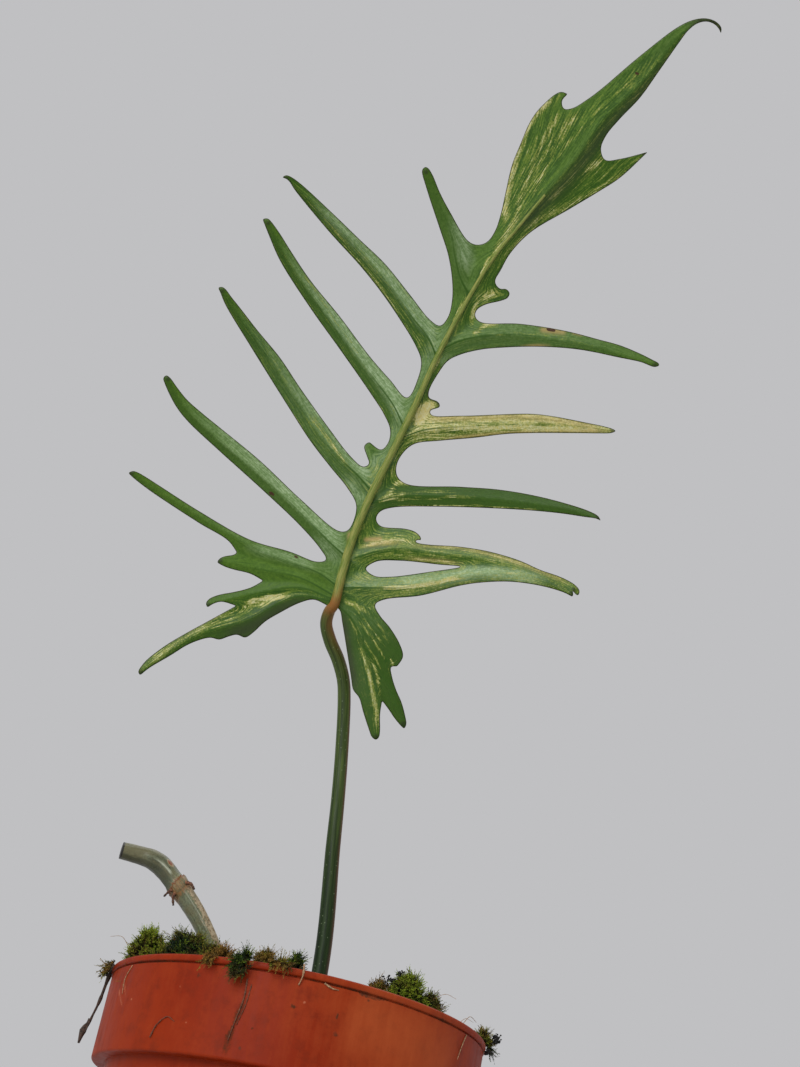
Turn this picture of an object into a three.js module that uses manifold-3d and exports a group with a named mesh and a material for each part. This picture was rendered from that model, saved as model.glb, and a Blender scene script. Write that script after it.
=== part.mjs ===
// A Florida Beauty philodendron in a nursery pot: one deeply lobed leaf on its petiole, a cut length of the
// old stem beside it, and clumps of moss on the soil. Millimetres, +Z up, the pot's axis on the Z axis, the
// pot standing on Z = 0, and the underside of the leaf towards -Y.
import * as THREE from "three";
import Module from "manifold-3d";

const wasm = await Module();
wasm.setup();

// Pot
const POT_HEIGHT = 115;
const RIM_RADIUS = 65;
const LIP_HEIGHT = 2.2;
const COLLAR_TOP_RADIUS = 64.4;
const COLLAR_FOOT_RADIUS = 63.9;
const COLLAR_FOOT_Z = 85.5;
const COLLAR_STEP = 4.6;
const BASE_RADIUS = 46;
const BASE_BEVEL = 1;
const COLLAR_BEVEL = 0.7;
const LIP_BEVEL = 0.6;
const BASE_THICKNESS = 2.4;
const WALL = 1.8;
const POT_SIDES = 60;

// Soil
const SOIL_LEVEL = 105;
const SOIL_LUMP = 0.8;
const SOIL_RINGS = 9;
const SOIL_SIDES = 40;
const FIT_GAP = 0.3;
const STEM_HOLE_GAP = 0.4;

// Leaf blade: the drawing below is in units of LEAF_UNIT, with its origin where the petiole meets the blade
const LEAF_UNIT = 0.381;
const LEAF_ORIGIN = [-19.3, -22, 259.2];
const LEAF_LEAN_DEG = 30;
const LEAF_TURN_DEG = 12;
const BLADE_THICKNESS = 0.8;
const MARGIN_STEP = 2.5;
const VEIN_STEP = 3;
const FILL_STEP = 5.5;
const FILL_CLEARANCE = 2;
const FILL_JITTER = 2.2;
const FILL_SEED = 7;
// The drawing's extent in its own units, for the fill.
const DRAWING_LOW = [-210, -140];
const DRAWING_HIGH = [420, 590];
const LEAF_REACH = 223;
const TIP_ARCH = 24;
const BACK_ARCH = 12;
const LOBE_DROOP = 0.0014;
const FOLD_DEPTH = 2.4;
const FOLD_WIDTH = 8;
// Bends of the blade run towards this point in front of its underside, so that they keep its outline.
const BEND_CENTRE = [25, 27, 533];

// Petiole and midrib
const STALK_SIDES = 8;
const STALK_STEP = 6;
const MIDRIB_LIFT = 0.5;

// Old stem
const STEM_SIDES = 12;
const STEM_STEP = 3.5;
const ROOT_STUB_SIDES = 5;
const ROOT_STUB_TAPER = 0.5;

// Moss
const MOSS_GAP = 0.5;
const MOSS_SIDES = 14;
const MOSS_RINGS = 3;
const MOSS_HANG_Z = 109.5;
// Where the two rings of a hummock's underside and the outermost shoots stand, as shares of its radius.
const MOSS_FOOT_SHARES = [0.45, 0.95];
const SHOOT_SPREAD = 0.85;
const SHOOT_LENGTH = 4.2;
const SHOOT_ROOT = 1.5;
const SHOOT_RADIUS = 1.2;
const SHOOT_SIDES = 3;

// Margin of the blade down its right side, from the tip to the petiole. Each run is a smooth stretch of
// margin, and two runs meet in a corner.
const RIGHT_MARGIN = [
  // terminal lobe: the curl of its tip, its right tooth and the small tooth below
  [[388, 571], [385, 576], [378, 581], [367, 580], [357, 574], [347, 563], [327, 535], [307, 507],
    [287, 486], [273, 469], [268, 456], [272, 445], [287, 446], [315, 453]],
  [[315, 453], [287, 427], [267, 414], [237, 396], [197, 372], [177, 351], [168, 335], [162, 323],
    [167, 316], [176, 312]],
  [[176, 312], [170, 305], [152, 300], [144, 295], [142, 289], [147, 283], [187, 281], [232, 274],
    [267, 265], [287, 259.5], [308, 250.8], [321, 244.2], [325.6, 241.8], [326.8, 239.3]],
  // first lobe and second lobe with the hook between them
  [[326.8, 239.3], [322, 237.6], [308, 242.6], [287, 247], [247, 255], [207, 258], [167, 257], [147, 255],
    [127, 250], [115, 244], [105, 231], [96, 214], [96, 207], [105, 203], [107, 198], [97, 194], [98, 190],
    [127, 189], [197, 191], [217, 189], [257, 181.4], [272, 178.2], [280, 175.8], [283.4, 173.8]],
  [[283.4, 173.8], [279, 171.8], [265, 171.4], [247, 171.6], [177, 171], [142, 167], [107, 164], [82, 161],
    [72, 154], [64, 141], [64, 129], [73, 121], [127, 118], [167, 115], [207, 108], [247, 97], [259.7, 92],
    [265.4, 88.6], [268, 83.5]],
  // third lobe, the hook under it, and the two lobes that are joined beyond their slit
  [[268, 83.5], [264.5, 85.7], [250, 88], [227, 91.4], [187, 95], [107, 98], [59, 97], [47, 93], [43, 86],
    [47, 79], [72, 76], [82, 73], [89, 66]],
  [[89, 66], [97, 61], [127, 58], [157, 53], [187, 44], [207, 35], [227, 28], [239, 22], [244.4, 17.6],
    [246.8, 13.4], [245.2, 8.8]],
  [[245.2, 8.8], [241, 12.6], [239.6, 7.6]],
  [[239.6, 7.6], [227, 13.2], [207, 19], [177, 23], [147, 22], [127, 19], [87, 9], [51, 5], [42, 0],
    [47, -11], [57, -23], [67, -40], [70, -52], [64, -62]],
  // basal lobe that hangs beside the petiole
  [[64, -62], [58, -62], [59, -72], [63, -85], [68.6, -98], [72.3, -112], [73.4, -119.6], [71.3, -124.4]],
  [[71.3, -124.4], [68, -121.4], [61.8, -114], [55, -104], [49, -96]],
  [[49, -96], [47, -110], [47, -126], [46, -132.6], [43, -135.6]],
  [[43, -135.6], [38.8, -132.6], [36.2, -126], [30, -107], [26, -93], [20, -85], [18, -73], [12, -35],
    [9, -17], [7, -6], [3, -2]],
];

// Margin down the left side, from the tip to the petiole.
const LEFT_MARGIN = [
  // terminal lobe with its hook, and the first lobe
  [[388, 571], [389, 577], [383, 584], [373, 587], [357, 583], [342, 575], [307, 549], [267, 515],
    [252, 504], [240, 497], [231, 496], [229, 504], [235, 511]],
  [[235, 511], [227, 513], [207, 497], [197, 483], [187, 460], [179, 440], [172, 410], [168, 392],
    [162, 374], [154, 363], [144, 360], [135, 364], [117, 393], [107, 412], [99.5, 430], [95.2, 436.8],
    [92.2, 438.4]],
  // the four long lobes, with the hook above the last but one
  [[92.2, 438.4], [89, 435.2], [89.4, 430], [92, 421], [97, 405], [107, 375], [115, 350], [119, 325],
    [119, 305], [115, 288], [107, 279], [97, 285], [77, 310], [52, 341], [27, 365], [-3, 394], [-33, 421.6],
    [-42.4, 428.2], [-47.4, 429.8], [-51.2, 427.2]],
  [[-51.2, 427.2], [-47.2, 426.2], [-43.6, 423.2], [-39.5, 416.6], [-33, 408], [-3, 372], [27, 339],
    [47, 314], [67, 285], [82, 260], [88, 244], [85, 227], [74, 207], [57, 225], [37, 248], [7, 288],
    [-23, 325], [-43, 355], [-53, 371], [-61.8, 383.2], [-65.4, 386.6], [-70.7, 385.9]],
  [[-70.7, 385.9], [-68.6, 380.6], [-63.6, 368], [-53, 344], [-23, 297], [7, 255], [37, 212], [51, 190],
    [57, 175], [55, 162], [48, 155], [36, 163]],
  [[36, 163], [31, 159], [34, 148], [36, 141], [30, 138], [17, 149], [-3, 175], [-33, 217], [-53, 247],
    [-76, 275], [-93, 297], [-101.8, 308], [-107.8, 316], [-111.4, 318.2], [-115.2, 317.2]],
  [[-115.2, 317.2], [-113, 312.8], [-108, 300.6], [-83, 259], [-43, 195], [-23, 164], [-3, 138], [14, 117],
    [23, 100], [20, 83], [14, 74], [5, 74], [-33, 106], [-73, 144], [-113, 177], [-129, 190], [-146, 205],
    [-156, 217.4], [-162.6, 226.6], [-166.6, 230]],
  [[-166.6, 230], [-170.1, 226.8], [-169, 222.8], [-164, 211], [-156, 196.6], [-145, 183], [-113, 153],
    [-72, 116], [-33, 79], [-13, 56], [-7, 45], [-16, 43], [-43, 53], [-83, 65], [-133, 93], [-173, 118.6],
    [-187.3, 127.8], [-195.8, 132.6], [-200.4, 133.9], [-205.1, 131.9]],
  // the lowest lobes: a long one, two teeth and the one that points down
  [[-205.1, 131.9], [-200.2, 127.2], [-187.3, 117], [-173, 107], [-133, 81], [-105, 64], [-96, 52]],
  [[-96, 52], [-100, 49.8], [-108, 48.6], [-113.6, 46.2], [-116.3, 42.2]],
  [[-116.3, 42.2], [-108, 37.9], [-99, 35], [-83, 31], [-70, 24]],
  [[-70, 24], [-83, 17], [-103, 12], [-110.4, 10.8], [-120.4, 7.8], [-125.4, 4.6], [-127.4, 0.8],
    [-125.7, -3]],
  [[-125.7, -3], [-120.4, 0.6], [-112, 3], [-97, -1]],
  [[-97, -1], [-128, -18], [-148, -29], [-168, -41], [-185.6, -54.4], [-191.2, -60.6], [-195.1, -67.4],
    [-193.1, -70.8]],
  [[-193.1, -70.8], [-184.2, -63.6], [-163, -51], [-143, -39], [-123, -33], [-114, -35], [-105, -32],
    [-96, -30], [-88, -33], [-80, -28], [-68, -17], [-53, -8], [-33, 2], [-19, 5], [-3, -2], [3, -2]],
];

// The slit between the two joined lobes.
const SLIT = [[127, 38], [107, 40], [67, 44], [43, 43], [33, 36], [41, 29], [57, 28], [97, 33]];

// Main veins, from the midrib out. The blade is folded along each of them, and each lobe droops as much as
// its number says.
const MIDRIB = [[1, 0], [10, 35], [19, 65], [38, 110], [58, 150], [81, 197], [104, 248], [130, 297],
  [159, 345], [187, 380], [212, 410], [242, 445], [272, 487], [307, 520], [357, 577], [379, 583]];
const LOBE_VEINS = [
  { droop: 0.8, points: [[137, 308], [128, 325], [123, 343], [117, 374], [101, 412], [93, 433]] },
  { droop: 1.1, points: [[104, 247], [95, 267], [78, 289], [58, 317], [34, 346], [-15, 397], [-47, 426]] },
  { droop: 0.9, points: [[71, 177], [60, 200], [29, 241], [-10, 295], [-28, 319], [-48, 350], [-65, 382]] },
  { droop: 1.2, points: [[39, 113], [23, 131], [0, 153], [-21, 181], [-60, 242], [-97, 293], [-111, 314]] },
  { droop: 1.0, points: [[14, 47], [-3, 62], [-38, 97], [-78, 134], [-119, 169], [-148, 198], [-165, 226]] },
  { droop: 1.2, points: [[6, 17], [-15, 32], [-43, 42], [-71, 53], [-108, 73], [-168, 110], [-201, 132]] },
  { droop: 1.2, points: [[1, 9], [-33, 27], [-71, 35], [-113, 44]] },
  { droop: 1.2, points: [[1, 5], [-33, 17], [-71, 13], [-98, 7], [-125, 0]] },
  { droop: 1.2, points: [[0, 3], [-33, 9], [-58, 0], [-83, -14], [-108, -22], [-133, -29], [-163, -46],
    [-192, -67]] },
  { droop: 1.0, points: [[110, 256], [127, 264], [152, 269], [187, 270], [227, 265], [267, 257], [302, 246],
    [322, 240]] },
  { droop: 1.3, points: [[71, 168], [92, 175], [127, 178], [167, 180], [207, 181], [247, 178], [280, 174]] },
  { droop: 0.9, points: [[39, 102], [62, 108], [87, 109], [127, 108], [167, 105], [207, 100], [242, 94],
    [265, 86]] },
  { droop: 1.1, points: [[22, 47], [47, 54], [67, 56], [107, 51], [137, 48], [172, 41], [207, 30], [241, 15]] },
  { droop: 1.1, points: [[10, 17], [42, 17], [67, 17], [97, 22], [127, 28], [167, 32], [207, 26], [238, 11]] },
  { droop: 1.5, points: [[5, -1], [19, -15], [29, -40], [36, -70], [40, -100], [43, -132]] },
  { droop: 1.5, points: [[29, -40], [45, -63], [57, -85], [70, -119]] },
];

// Centre line of the petiole in the pot's own frame, with its radius, from the soil to the blade.
const PETIOLE = [
  { at: [5.5, 8, 78], radius: 2.9 },
  { at: [5, 7.5, 104], radius: 2.9 },
  { at: [4, 6.5, 140], radius: 2.9 },
  { at: [0, 4, 174], radius: 2.7 },
  { at: [-2, 2.5, 192.5], radius: 2.55 },
  { at: [-4.5, 1, 211.5], radius: 2.5 },
  { at: [-7.7, -2, 230.5], radius: 2.5 },
  { at: [-9.6, -4, 237.5], radius: 2.5 },
  { at: [-13.2, -7, 244], radius: 2.55 },
  { at: [-17.8, -11, 249.5], radius: 2.5 },
  { at: [-20.5, -15.5, 254], radius: 2.35 },
  { at: [-20.2, -19.5, 257.5], radius: 2.2 },
];
// Radius of the midrib along the blade, from the petiole out, at these points of MIDRIB.
const MIDRIB_RADII = [1.9, 1.65, 1.6, 1.5, 1.4, 1.25, 1.05, 0.85, 0.7, 0.6, 0.5];

// Centre line of the old stem with its radius, from the soil to the cut, with the swollen node at 150 mm.
const OLD_STEM = [
  { at: [-15, 5, 84], radius: 3.2 },
  { at: [-20, 4, 105], radius: 3.2 },
  { at: [-28, 3, 120.5], radius: 3.2 },
  { at: [-36.9, 2, 134], radius: 3.2 },
  { at: [-41.1, 1, 139], radius: 3.2 },
  { at: [-44.8, 0.5, 142.7], radius: 3.4 },
  { at: [-48.3, 0, 145.9], radius: 3.55 },
  { at: [-51.3, -1, 148.2], radius: 3.95 },
  { at: [-53.2, -1.3, 149.7], radius: 3.75 },
  { at: [-58.5, -2, 153.5], radius: 3.7 },
  { at: [-62.3, -3, 154.8], radius: 3.5 },
  { at: [-66.2, -3.5, 155.5], radius: 3.2 },
  { at: [-73.3, -5, 155.7], radius: 2.95 },
];
const ROOT_STUBS = [
  { from: [-49.5, -3, 149], to: [-45, -4.5, 147.7], radius: 0.7 },
  { from: [-51.5, -2.5, 147], to: [-54.3, -6, 142.3], radius: 0.6 },
  { from: [-50, -2, 146], to: [-50.1, -4.5, 140.3], radius: 0.6 },
  { from: [-50, 1.5, 148], to: [-50.5, 5.5, 145], radius: 0.7 },
];

// Moss clumps: the seed of each, and its hummocks with their place, width, top and number of shoots.
const MOSS_CLUMPS = {
  moss_left: {
    seed: 11,
    hummocks: [
      { at: [-55, -22], radius: 8, top: 126, shoots: 16 },
      { at: [-47, -27.5], radius: 7.5, top: 121, shoots: 6 },
      { at: [-39.5, -31], radius: 9.5, top: 126, shoots: 16 },
      { at: [-32, -35], radius: 8, top: 122.5, shoots: 8 },
      { at: [-25.5, -37], radius: 8, top: 121, shoots: 8 },
    ],
  },
  moss_front: {
    seed: 23,
    hummocks: [
      { at: [-17.8, -60.5], radius: 5, top: 120.5, shoots: 7 },
      { at: [-12, -52], radius: 7, top: 118.5, shoots: 8 },
      { at: [-3, -54], radius: 6, top: 118, shoots: 7 },
    ],
  },
  moss_right: {
    seed: 31,
    hummocks: [
      { at: [23, -47], radius: 6, top: 119.5, shoots: 7 },
      { at: [31.5, -43.5], radius: 7.5, top: 125, shoots: 14 },
      { at: [40, -38], radius: 6.5, top: 120.5, shoots: 9 },
    ],
  },
  moss_rim: {
    seed: 47,
    hummocks: [{ at: [64, -6], radius: 6, top: 121, shoots: 12 }],
  },
};

// Finishes
const FINISH = {
  pot: { color: 0xa8472c, roughness: 0.45 },
  soil: { color: 0x3d2a1c, roughness: 0.95 },
  leaf: { color: 0x4a7a32, roughness: 0.42 },
  oldStem: { color: 0x7d8468, roughness: 0.5 },
  moss: { color: 0x4f6b1f, roughness: 0.9 },
};

// A seeded random draw between 0 and 1.
function randomFrom(seed) {
  let state = seed;
  return () => {
    state = (state * 1664525 + 1013904223) % 4294967296;
    return state / 4294967296;
  };
}

function geometryOf(positions, triangles) {
  const geometry = new THREE.BufferGeometry();
  geometry.setAttribute("position", new THREE.Float32BufferAttribute(positions.flat(), 3));
  geometry.setIndex(triangles.flat());
  return geometry;
}

function solidOf(positions, triangles) {
  return new wasm.Manifold(
    new wasm.Mesh({
      numProp: 3,
      vertProperties: new Float32Array(positions.flat()),
      triVerts: new Uint32Array(triangles.flat()),
    }),
  );
}

function geometryOfSolid(solid) {
  const mesh = solid.getMesh();
  const positions = [];
  for (let i = 0; i < mesh.numVert; i++) {
    positions.push([...mesh.vertProperties.subarray(i * mesh.numProp, i * mesh.numProp + 3)]);
  }
  return geometryOf(positions, [[...mesh.triVerts]]);
}

function fuse(solids) {
  return solids.reduce((whole, piece) => whole.add(piece));
}

function meshOf(name, geometry, finish) {
  geometry.computeVertexNormals();
  const material = new THREE.MeshStandardMaterial({ ...finish, metalness: 0 });
  material.name = name;
  const mesh = new THREE.Mesh(geometry, material);
  mesh.name = name;
  return mesh;
}

// A closed tube with flat ends around a list of centre points, each with its own radius.
function tubeSolid(centres, radii, sides) {
  const positions = [];
  const triangles = [];
  let across = new THREE.Vector3(1, 0, 0);
  centres.forEach((centre, i) => {
    const before = centres[Math.max(i - 1, 0)];
    const after = centres[Math.min(i + 1, centres.length - 1)];
    const along = after.clone().sub(before).normalize();
    across = across.clone().addScaledVector(along, -across.dot(along)).normalize();
    const third = along.clone().cross(across);
    for (let side = 0; side < sides; side++) {
      const angle = (2 * Math.PI * side) / sides;
      const point = centre
        .clone()
        .addScaledVector(across, radii[i] * Math.cos(angle))
        .addScaledVector(third, radii[i] * Math.sin(angle));
      positions.push(point.toArray());
    }
  });
  for (let ring = 0; ring < centres.length - 1; ring++) {
    for (let side = 0; side < sides; side++) {
      const next = (side + 1) % sides;
      const low = ring * sides;
      const high = low + sides;
      triangles.push([low + side, low + next, high + next]);
      triangles.push([low + side, high + next, high + side]);
    }
  }
  const start = positions.length;
  positions.push(centres[0].toArray(), centres[centres.length - 1].toArray());
  const lastRing = (centres.length - 1) * sides;
  for (let side = 0; side < sides; side++) {
    const next = (side + 1) % sides;
    triangles.push([start, next, side]);
    triangles.push([start + 1, lastRing + side, lastRing + next]);
  }
  return solidOf(positions, triangles);
}

// Evenly spaced points of a smooth curve through knots, with a radius at each, taken between the knots.
function sweepOf(knots, step) {
  const curve = new THREE.CatmullRomCurve3(knots.map((knot) => knot.point), false, "centripetal");
  const count = Math.round(curve.getLength() / step);
  const centres = [];
  const radii = [];
  for (let i = 0; i <= count; i++) {
    const t = curve.getUtoTmapping(i / count);
    const place = t * (knots.length - 1);
    const low = Math.min(Math.floor(place), knots.length - 2);
    centres.push(curve.getPoint(t));
    radii.push(THREE.MathUtils.lerp(knots[low].radius, knots[low + 1].radius, place - low));
  }
  return { centres, radii };
}

function knotsOf(list) {
  return list.map(({ at, radius }) => ({ point: new THREE.Vector3(...at), radius }));
}

// Points in mm, evenly spaced on a smooth curve through points of the leaf drawing.
function drawnCurve(points, step, closed = false) {
  const knots = points.map(([x, y]) => new THREE.Vector3(x * LEAF_UNIT, y * LEAF_UNIT, 0));
  const curve = new THREE.CatmullRomCurve3(knots, closed, "centripetal");
  const count = Math.max(2, Math.round(curve.getLength() / step));
  return curve.getSpacedPoints(count).map(({ x, y }) => [x, y]);
}

function bladeOutline() {
  const right = RIGHT_MARGIN.flatMap((run) => drawnCurve(run, MARGIN_STEP).slice(0, -1));
  const left = LEFT_MARGIN.flatMap((run) => drawnCurve(run, MARGIN_STEP).slice(0, -1));
  left.push(LEFT_MARGIN.at(-1).at(-1).map((value) => value * LEAF_UNIT));
  return [...right, ...left.slice(1).reverse()];
}

function isInside([x, y], ring) {
  let inside = false;
  ring.forEach(([x1, y1], i) => {
    const [x2, y2] = ring[(i + 1) % ring.length];
    if (y1 > y !== y2 > y && x < x1 + ((y - y1) * (x2 - x1)) / (y2 - y1)) inside = !inside;
  });
  return inside;
}

function distanceBetween([x1, y1], [x2, y2]) {
  return Math.hypot(x2 - x1, y2 - y1);
}

// The veins as evenly spaced points, each with its distance from the midrib along its own lobe.
const MIDRIB_CURVE = drawnCurve(MIDRIB, VEIN_STEP).map((at) => ({ at, along: 0, droop: 0 }));
const VEIN_CURVES = [
  MIDRIB_CURVE,
  ...LOBE_VEINS.map(({ droop, points }) =>
    drawnCurve(points, VEIN_STEP).map((at, i) => ({ at, along: i * VEIN_STEP, droop })),
  ),
];

// The point of the nearest vein: how far off it is, how far out along its lobe, and its lobe's droop.
function nearestVein(point) {
  let best = { distance: Infinity };
  for (const curve of VEIN_CURVES) {
    for (let i = 0; i < curve.length - 1; i++) {
      const [ax, ay] = curve[i].at;
      const [bx, by] = curve[i + 1].at;
      const length2 = (bx - ax) ** 2 + (by - ay) ** 2;
      const share = ((point[0] - ax) * (bx - ax) + (point[1] - ay) * (by - ay)) / length2;
      const t = THREE.MathUtils.clamp(share, 0, 1);
      const distance = distanceBetween(point, [ax + t * (bx - ax), ay + t * (by - ay)]);
      if (distance < best.distance) {
        const along = THREE.MathUtils.lerp(curve[i].along, curve[i + 1].along, t);
        best = { distance, along, droop: curve[i].droop };
      }
    }
  }
  return best;
}

// How far the blade bends out of its plane, in mm towards its underside.
function bladeRelief(point) {
  const { distance, along, droop } = nearestVein(point);
  const reach = point[1] / LEAF_REACH;
  const back = reach > 0 ? 4 * reach * (1 - reach) : (4 * reach) / (1 - 8 * reach);
  const arch = TIP_ARCH * Math.max(reach, 0) ** 2 - BACK_ARCH * back;
  const fold = FOLD_DEPTH * (1 - Math.exp(-distance / FOLD_WIDTH));
  return arch + LOBE_DROOP * droop * along ** 2 - fold;
}

// The place of a point of the drawing in the pot's frame, lifted towards BEND_CENTRE by some mm.
const LEAF_FRAME = new THREE.Matrix4()
  .makeTranslation(...LEAF_ORIGIN)
  .multiply(new THREE.Matrix4().makeRotationX(THREE.MathUtils.degToRad(90 + LEAF_LEAN_DEG)))
  .multiply(new THREE.Matrix4().makeRotationZ(THREE.MathUtils.degToRad(LEAF_TURN_DEG)));

function placeOnLeaf([x, y], lift) {
  const flat = new THREE.Vector3(x, y, 0);
  const bend = new THREE.Vector3(...BEND_CENTRE).sub(flat).normalize();
  return flat.addScaledVector(bend, lift).applyMatrix4(LEAF_FRAME);
}

// Points inside the blade: along the veins, and a scattered fill where the blade is wide.
function bladeInnerPoints(outline, slit) {
  const rings = [...outline, ...slit];
  const inner = [];
  const clearOf = (point, others, gap) => others.every((other) => distanceBetween(point, other) > gap);
  const isOnBlade = (point) => isInside(point, outline) && !isInside(point, slit);
  for (const { at } of VEIN_CURVES.flat()) {
    if (isOnBlade(at) && clearOf(at, rings, VEIN_STEP / 4) && clearOf(at, inner, VEIN_STEP / 2)) {
      inner.push(at);
    }
  }
  const random = randomFrom(FILL_SEED);
  const [lowX, lowY] = DRAWING_LOW.map((value) => value * LEAF_UNIT);
  const [highX, highY] = DRAWING_HIGH.map((value) => value * LEAF_UNIT);
  for (let y = lowY; y < highY; y += FILL_STEP) {
    for (let x = lowX; x < highX; x += FILL_STEP) {
      const point = [x + FILL_JITTER * random(), y + FILL_JITTER * random()];
      if (isOnBlade(point) && clearOf(point, rings, FILL_CLEARANCE) && clearOf(point, inner, FILL_CLEARANCE)) {
        inner.push(point);
      }
    }
  }
  return inner;
}

function circleThrough([ax, ay], [bx, by], [cx, cy]) {
  const d = 2 * (ax * (by - cy) + bx * (cy - ay) + cx * (ay - by));
  const a2 = ax * ax + ay * ay;
  const b2 = bx * bx + by * by;
  const c2 = cx * cx + cy * cy;
  const x = (a2 * (by - cy) + b2 * (cy - ay) + c2 * (ay - by)) / d;
  const y = (a2 * (cx - bx) + b2 * (ax - cx) + c2 * (bx - ax)) / d;
  return { x, y, radius2: (ax - x) ** 2 + (ay - y) ** 2 };
}

// Delaunay triangles of a set of points, each turned anticlockwise.
function delaunay(points) {
  const far = 100 * LEAF_REACH;
  const all = [...points, [-far, -far], [far, -far], [0, far]];
  const first = points.length;
  const triangleOf = (a, b, c) => ({ corners: [a, b, c], circle: circleThrough(all[a], all[b], all[c]) });
  let triangles = [triangleOf(first, first + 1, first + 2)];
  points.forEach(([x, y], index) => {
    const edges = new Map();
    const kept = [];
    for (const triangle of triangles) {
      const { circle, corners } = triangle;
      if ((x - circle.x) ** 2 + (y - circle.y) ** 2 > circle.radius2) {
        kept.push(triangle);
        continue;
      }
      corners.forEach((a, i) => {
        const b = corners[(i + 1) % 3];
        if (!edges.delete(`${b}_${a}`)) edges.set(`${a}_${b}`, [a, b]);
      });
    }
    for (const [a, b] of edges.values()) kept.push(triangleOf(a, b, index));
    triangles = kept;
  });
  return triangles.map(({ corners }) => corners).filter((corners) => corners.every((i) => i < first));
}

// The blade: one sheet of even thickness, with the same triangles on both faces and a closed margin.
function bladeSolid() {
  const outline = bladeOutline();
  const slit = drawnCurve([...SLIT], MARGIN_STEP, true).slice(0, -1);
  const points = [...outline, ...slit, ...bladeInnerPoints(outline, slit)];
  const faces = delaunay(points).filter((corners) => {
    const middle = [0, 1].map((axis) => corners.reduce((sum, i) => sum + points[i][axis] / 3, 0));
    return isInside(middle, outline) && !isInside(middle, slit);
  });
  const lifts = points.map(bladeRelief);
  const half = BLADE_THICKNESS / 2;
  const under = points.map((point, i) => placeOnLeaf(point, lifts[i] + half).toArray());
  const upper = points.map((point, i) => placeOnLeaf(point, lifts[i] - half).toArray());
  const count = points.length;
  const triangles = [];
  const open = new Map();
  for (const [a, b, c] of faces) {
    triangles.push([a, b, c], [count + a, count + c, count + b]);
    for (const [from, to] of [[a, b], [b, c], [c, a]]) {
      if (!open.delete(`${to}_${from}`)) open.set(`${from}_${to}`, [from, to]);
    }
  }
  for (const [from, to] of open.values()) {
    triangles.push([to, from, count + from], [to, count + from, count + to]);
  }
  return solidOf([...under, ...upper], triangles);
}

// Petiole and midrib as one tapering stalk that runs up the underside of the blade.
function stalkSolid() {
  const midrib = MIDRIB_RADII.map((radius, i) => {
    const at = MIDRIB[i].map((value) => value * LEAF_UNIT);
    return { point: placeOnLeaf(at, bladeRelief(at) + MIDRIB_LIFT * radius), radius };
  });
  const { centres, radii } = sweepOf([...knotsOf(PETIOLE), ...midrib], STALK_STEP);
  return tubeSolid(centres, radii, STALK_SIDES);
}

function oldStemSolid() {
  const { centres, radii } = sweepOf(knotsOf(OLD_STEM), STEM_STEP);
  const stubs = ROOT_STUBS.map(({ from, to, radius }) => {
    const ends = [new THREE.Vector3(...from), new THREE.Vector3(...to)];
    return tubeSolid(ends, [radius, radius * ROOT_STUB_TAPER], ROOT_STUB_SIDES);
  });
  return fuse([tubeSolid(centres, radii, STEM_SIDES), ...stubs]);
}

function potGeometry() {
  const lipFoot = POT_HEIGHT - LIP_HEIGHT;
  const underCollar = COLLAR_FOOT_RADIUS - COLLAR_STEP;
  const profile = [
    [0, 0],
    [BASE_RADIUS - BASE_BEVEL, 0],
    [BASE_RADIUS, BASE_BEVEL],
    [underCollar, COLLAR_FOOT_Z],
    [COLLAR_FOOT_RADIUS - COLLAR_BEVEL, COLLAR_FOOT_Z],
    [COLLAR_FOOT_RADIUS, COLLAR_FOOT_Z + COLLAR_BEVEL],
    [COLLAR_TOP_RADIUS, lipFoot],
    [RIM_RADIUS, lipFoot + LIP_BEVEL],
    [RIM_RADIUS, POT_HEIGHT - LIP_BEVEL],
    [RIM_RADIUS - LIP_BEVEL, POT_HEIGHT],
    [RIM_RADIUS - WALL, POT_HEIGHT],
    [RIM_RADIUS - WALL - LIP_BEVEL, POT_HEIGHT - LIP_BEVEL],
    [COLLAR_FOOT_RADIUS - WALL, COLLAR_FOOT_Z + WALL],
    [underCollar - WALL, COLLAR_FOOT_Z + WALL],
    [BASE_RADIUS - WALL, BASE_THICKNESS],
    [0, BASE_THICKNESS],
  ].map(([radius, z]) => new THREE.Vector2(radius, z));
  return new THREE.LatheGeometry(profile, POT_SIDES).rotateX(Math.PI / 2);
}

function soilHeight(x, y) {
  const lumps = Math.sin(0.15 * x + 1) * Math.cos(0.17 * y) + 0.5 * Math.sin(0.2 * (x + y));
  return SOIL_LEVEL + SOIL_LUMP * lumps;
}

// Soil with an uneven top that fills the pot, and a plain hole for each stem.
function soilSolid() {
  const inner = COLLAR_FOOT_RADIUS - WALL - FIT_GAP;
  const step = inner - COLLAR_STEP;
  const floor = BASE_THICKNESS + FIT_GAP;
  const sides = [
    [BASE_RADIUS - WALL - FIT_GAP, floor],
    [step, COLLAR_FOOT_Z + WALL + FIT_GAP],
    [inner, COLLAR_FOOT_Z + WALL + FIT_GAP],
  ];
  const rings = sides.map(([radius, z]) => circleOfPoints([0, 0], radius, SOIL_SIDES, () => z));
  for (let ring = SOIL_RINGS; ring > 0; ring--) {
    rings.push(circleOfPoints([0, 0], (inner * ring) / SOIL_RINGS, SOIL_SIDES, soilHeight));
  }
  const body = ringsSolid(rings, [0, 0, floor], [0, 0, soilHeight(0, 0)]);
  const holes = [PETIOLE, OLD_STEM].map((stem) => {
    const knots = knotsOf(stem.slice(0, 3));
    const down = knots[0].point.clone().sub(knots[1].point).normalize();
    knots[0].point.addScaledVector(down, FIT_GAP);
    const { centres } = sweepOf(knots, STALK_STEP);
    const radius = stem[0].radius + STEM_HOLE_GAP;
    return tubeSolid(centres, centres.map(() => radius), STEM_SIDES);
  });
  return holes.reduce((soil, hole) => soil.subtract(hole), body);
}

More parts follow.
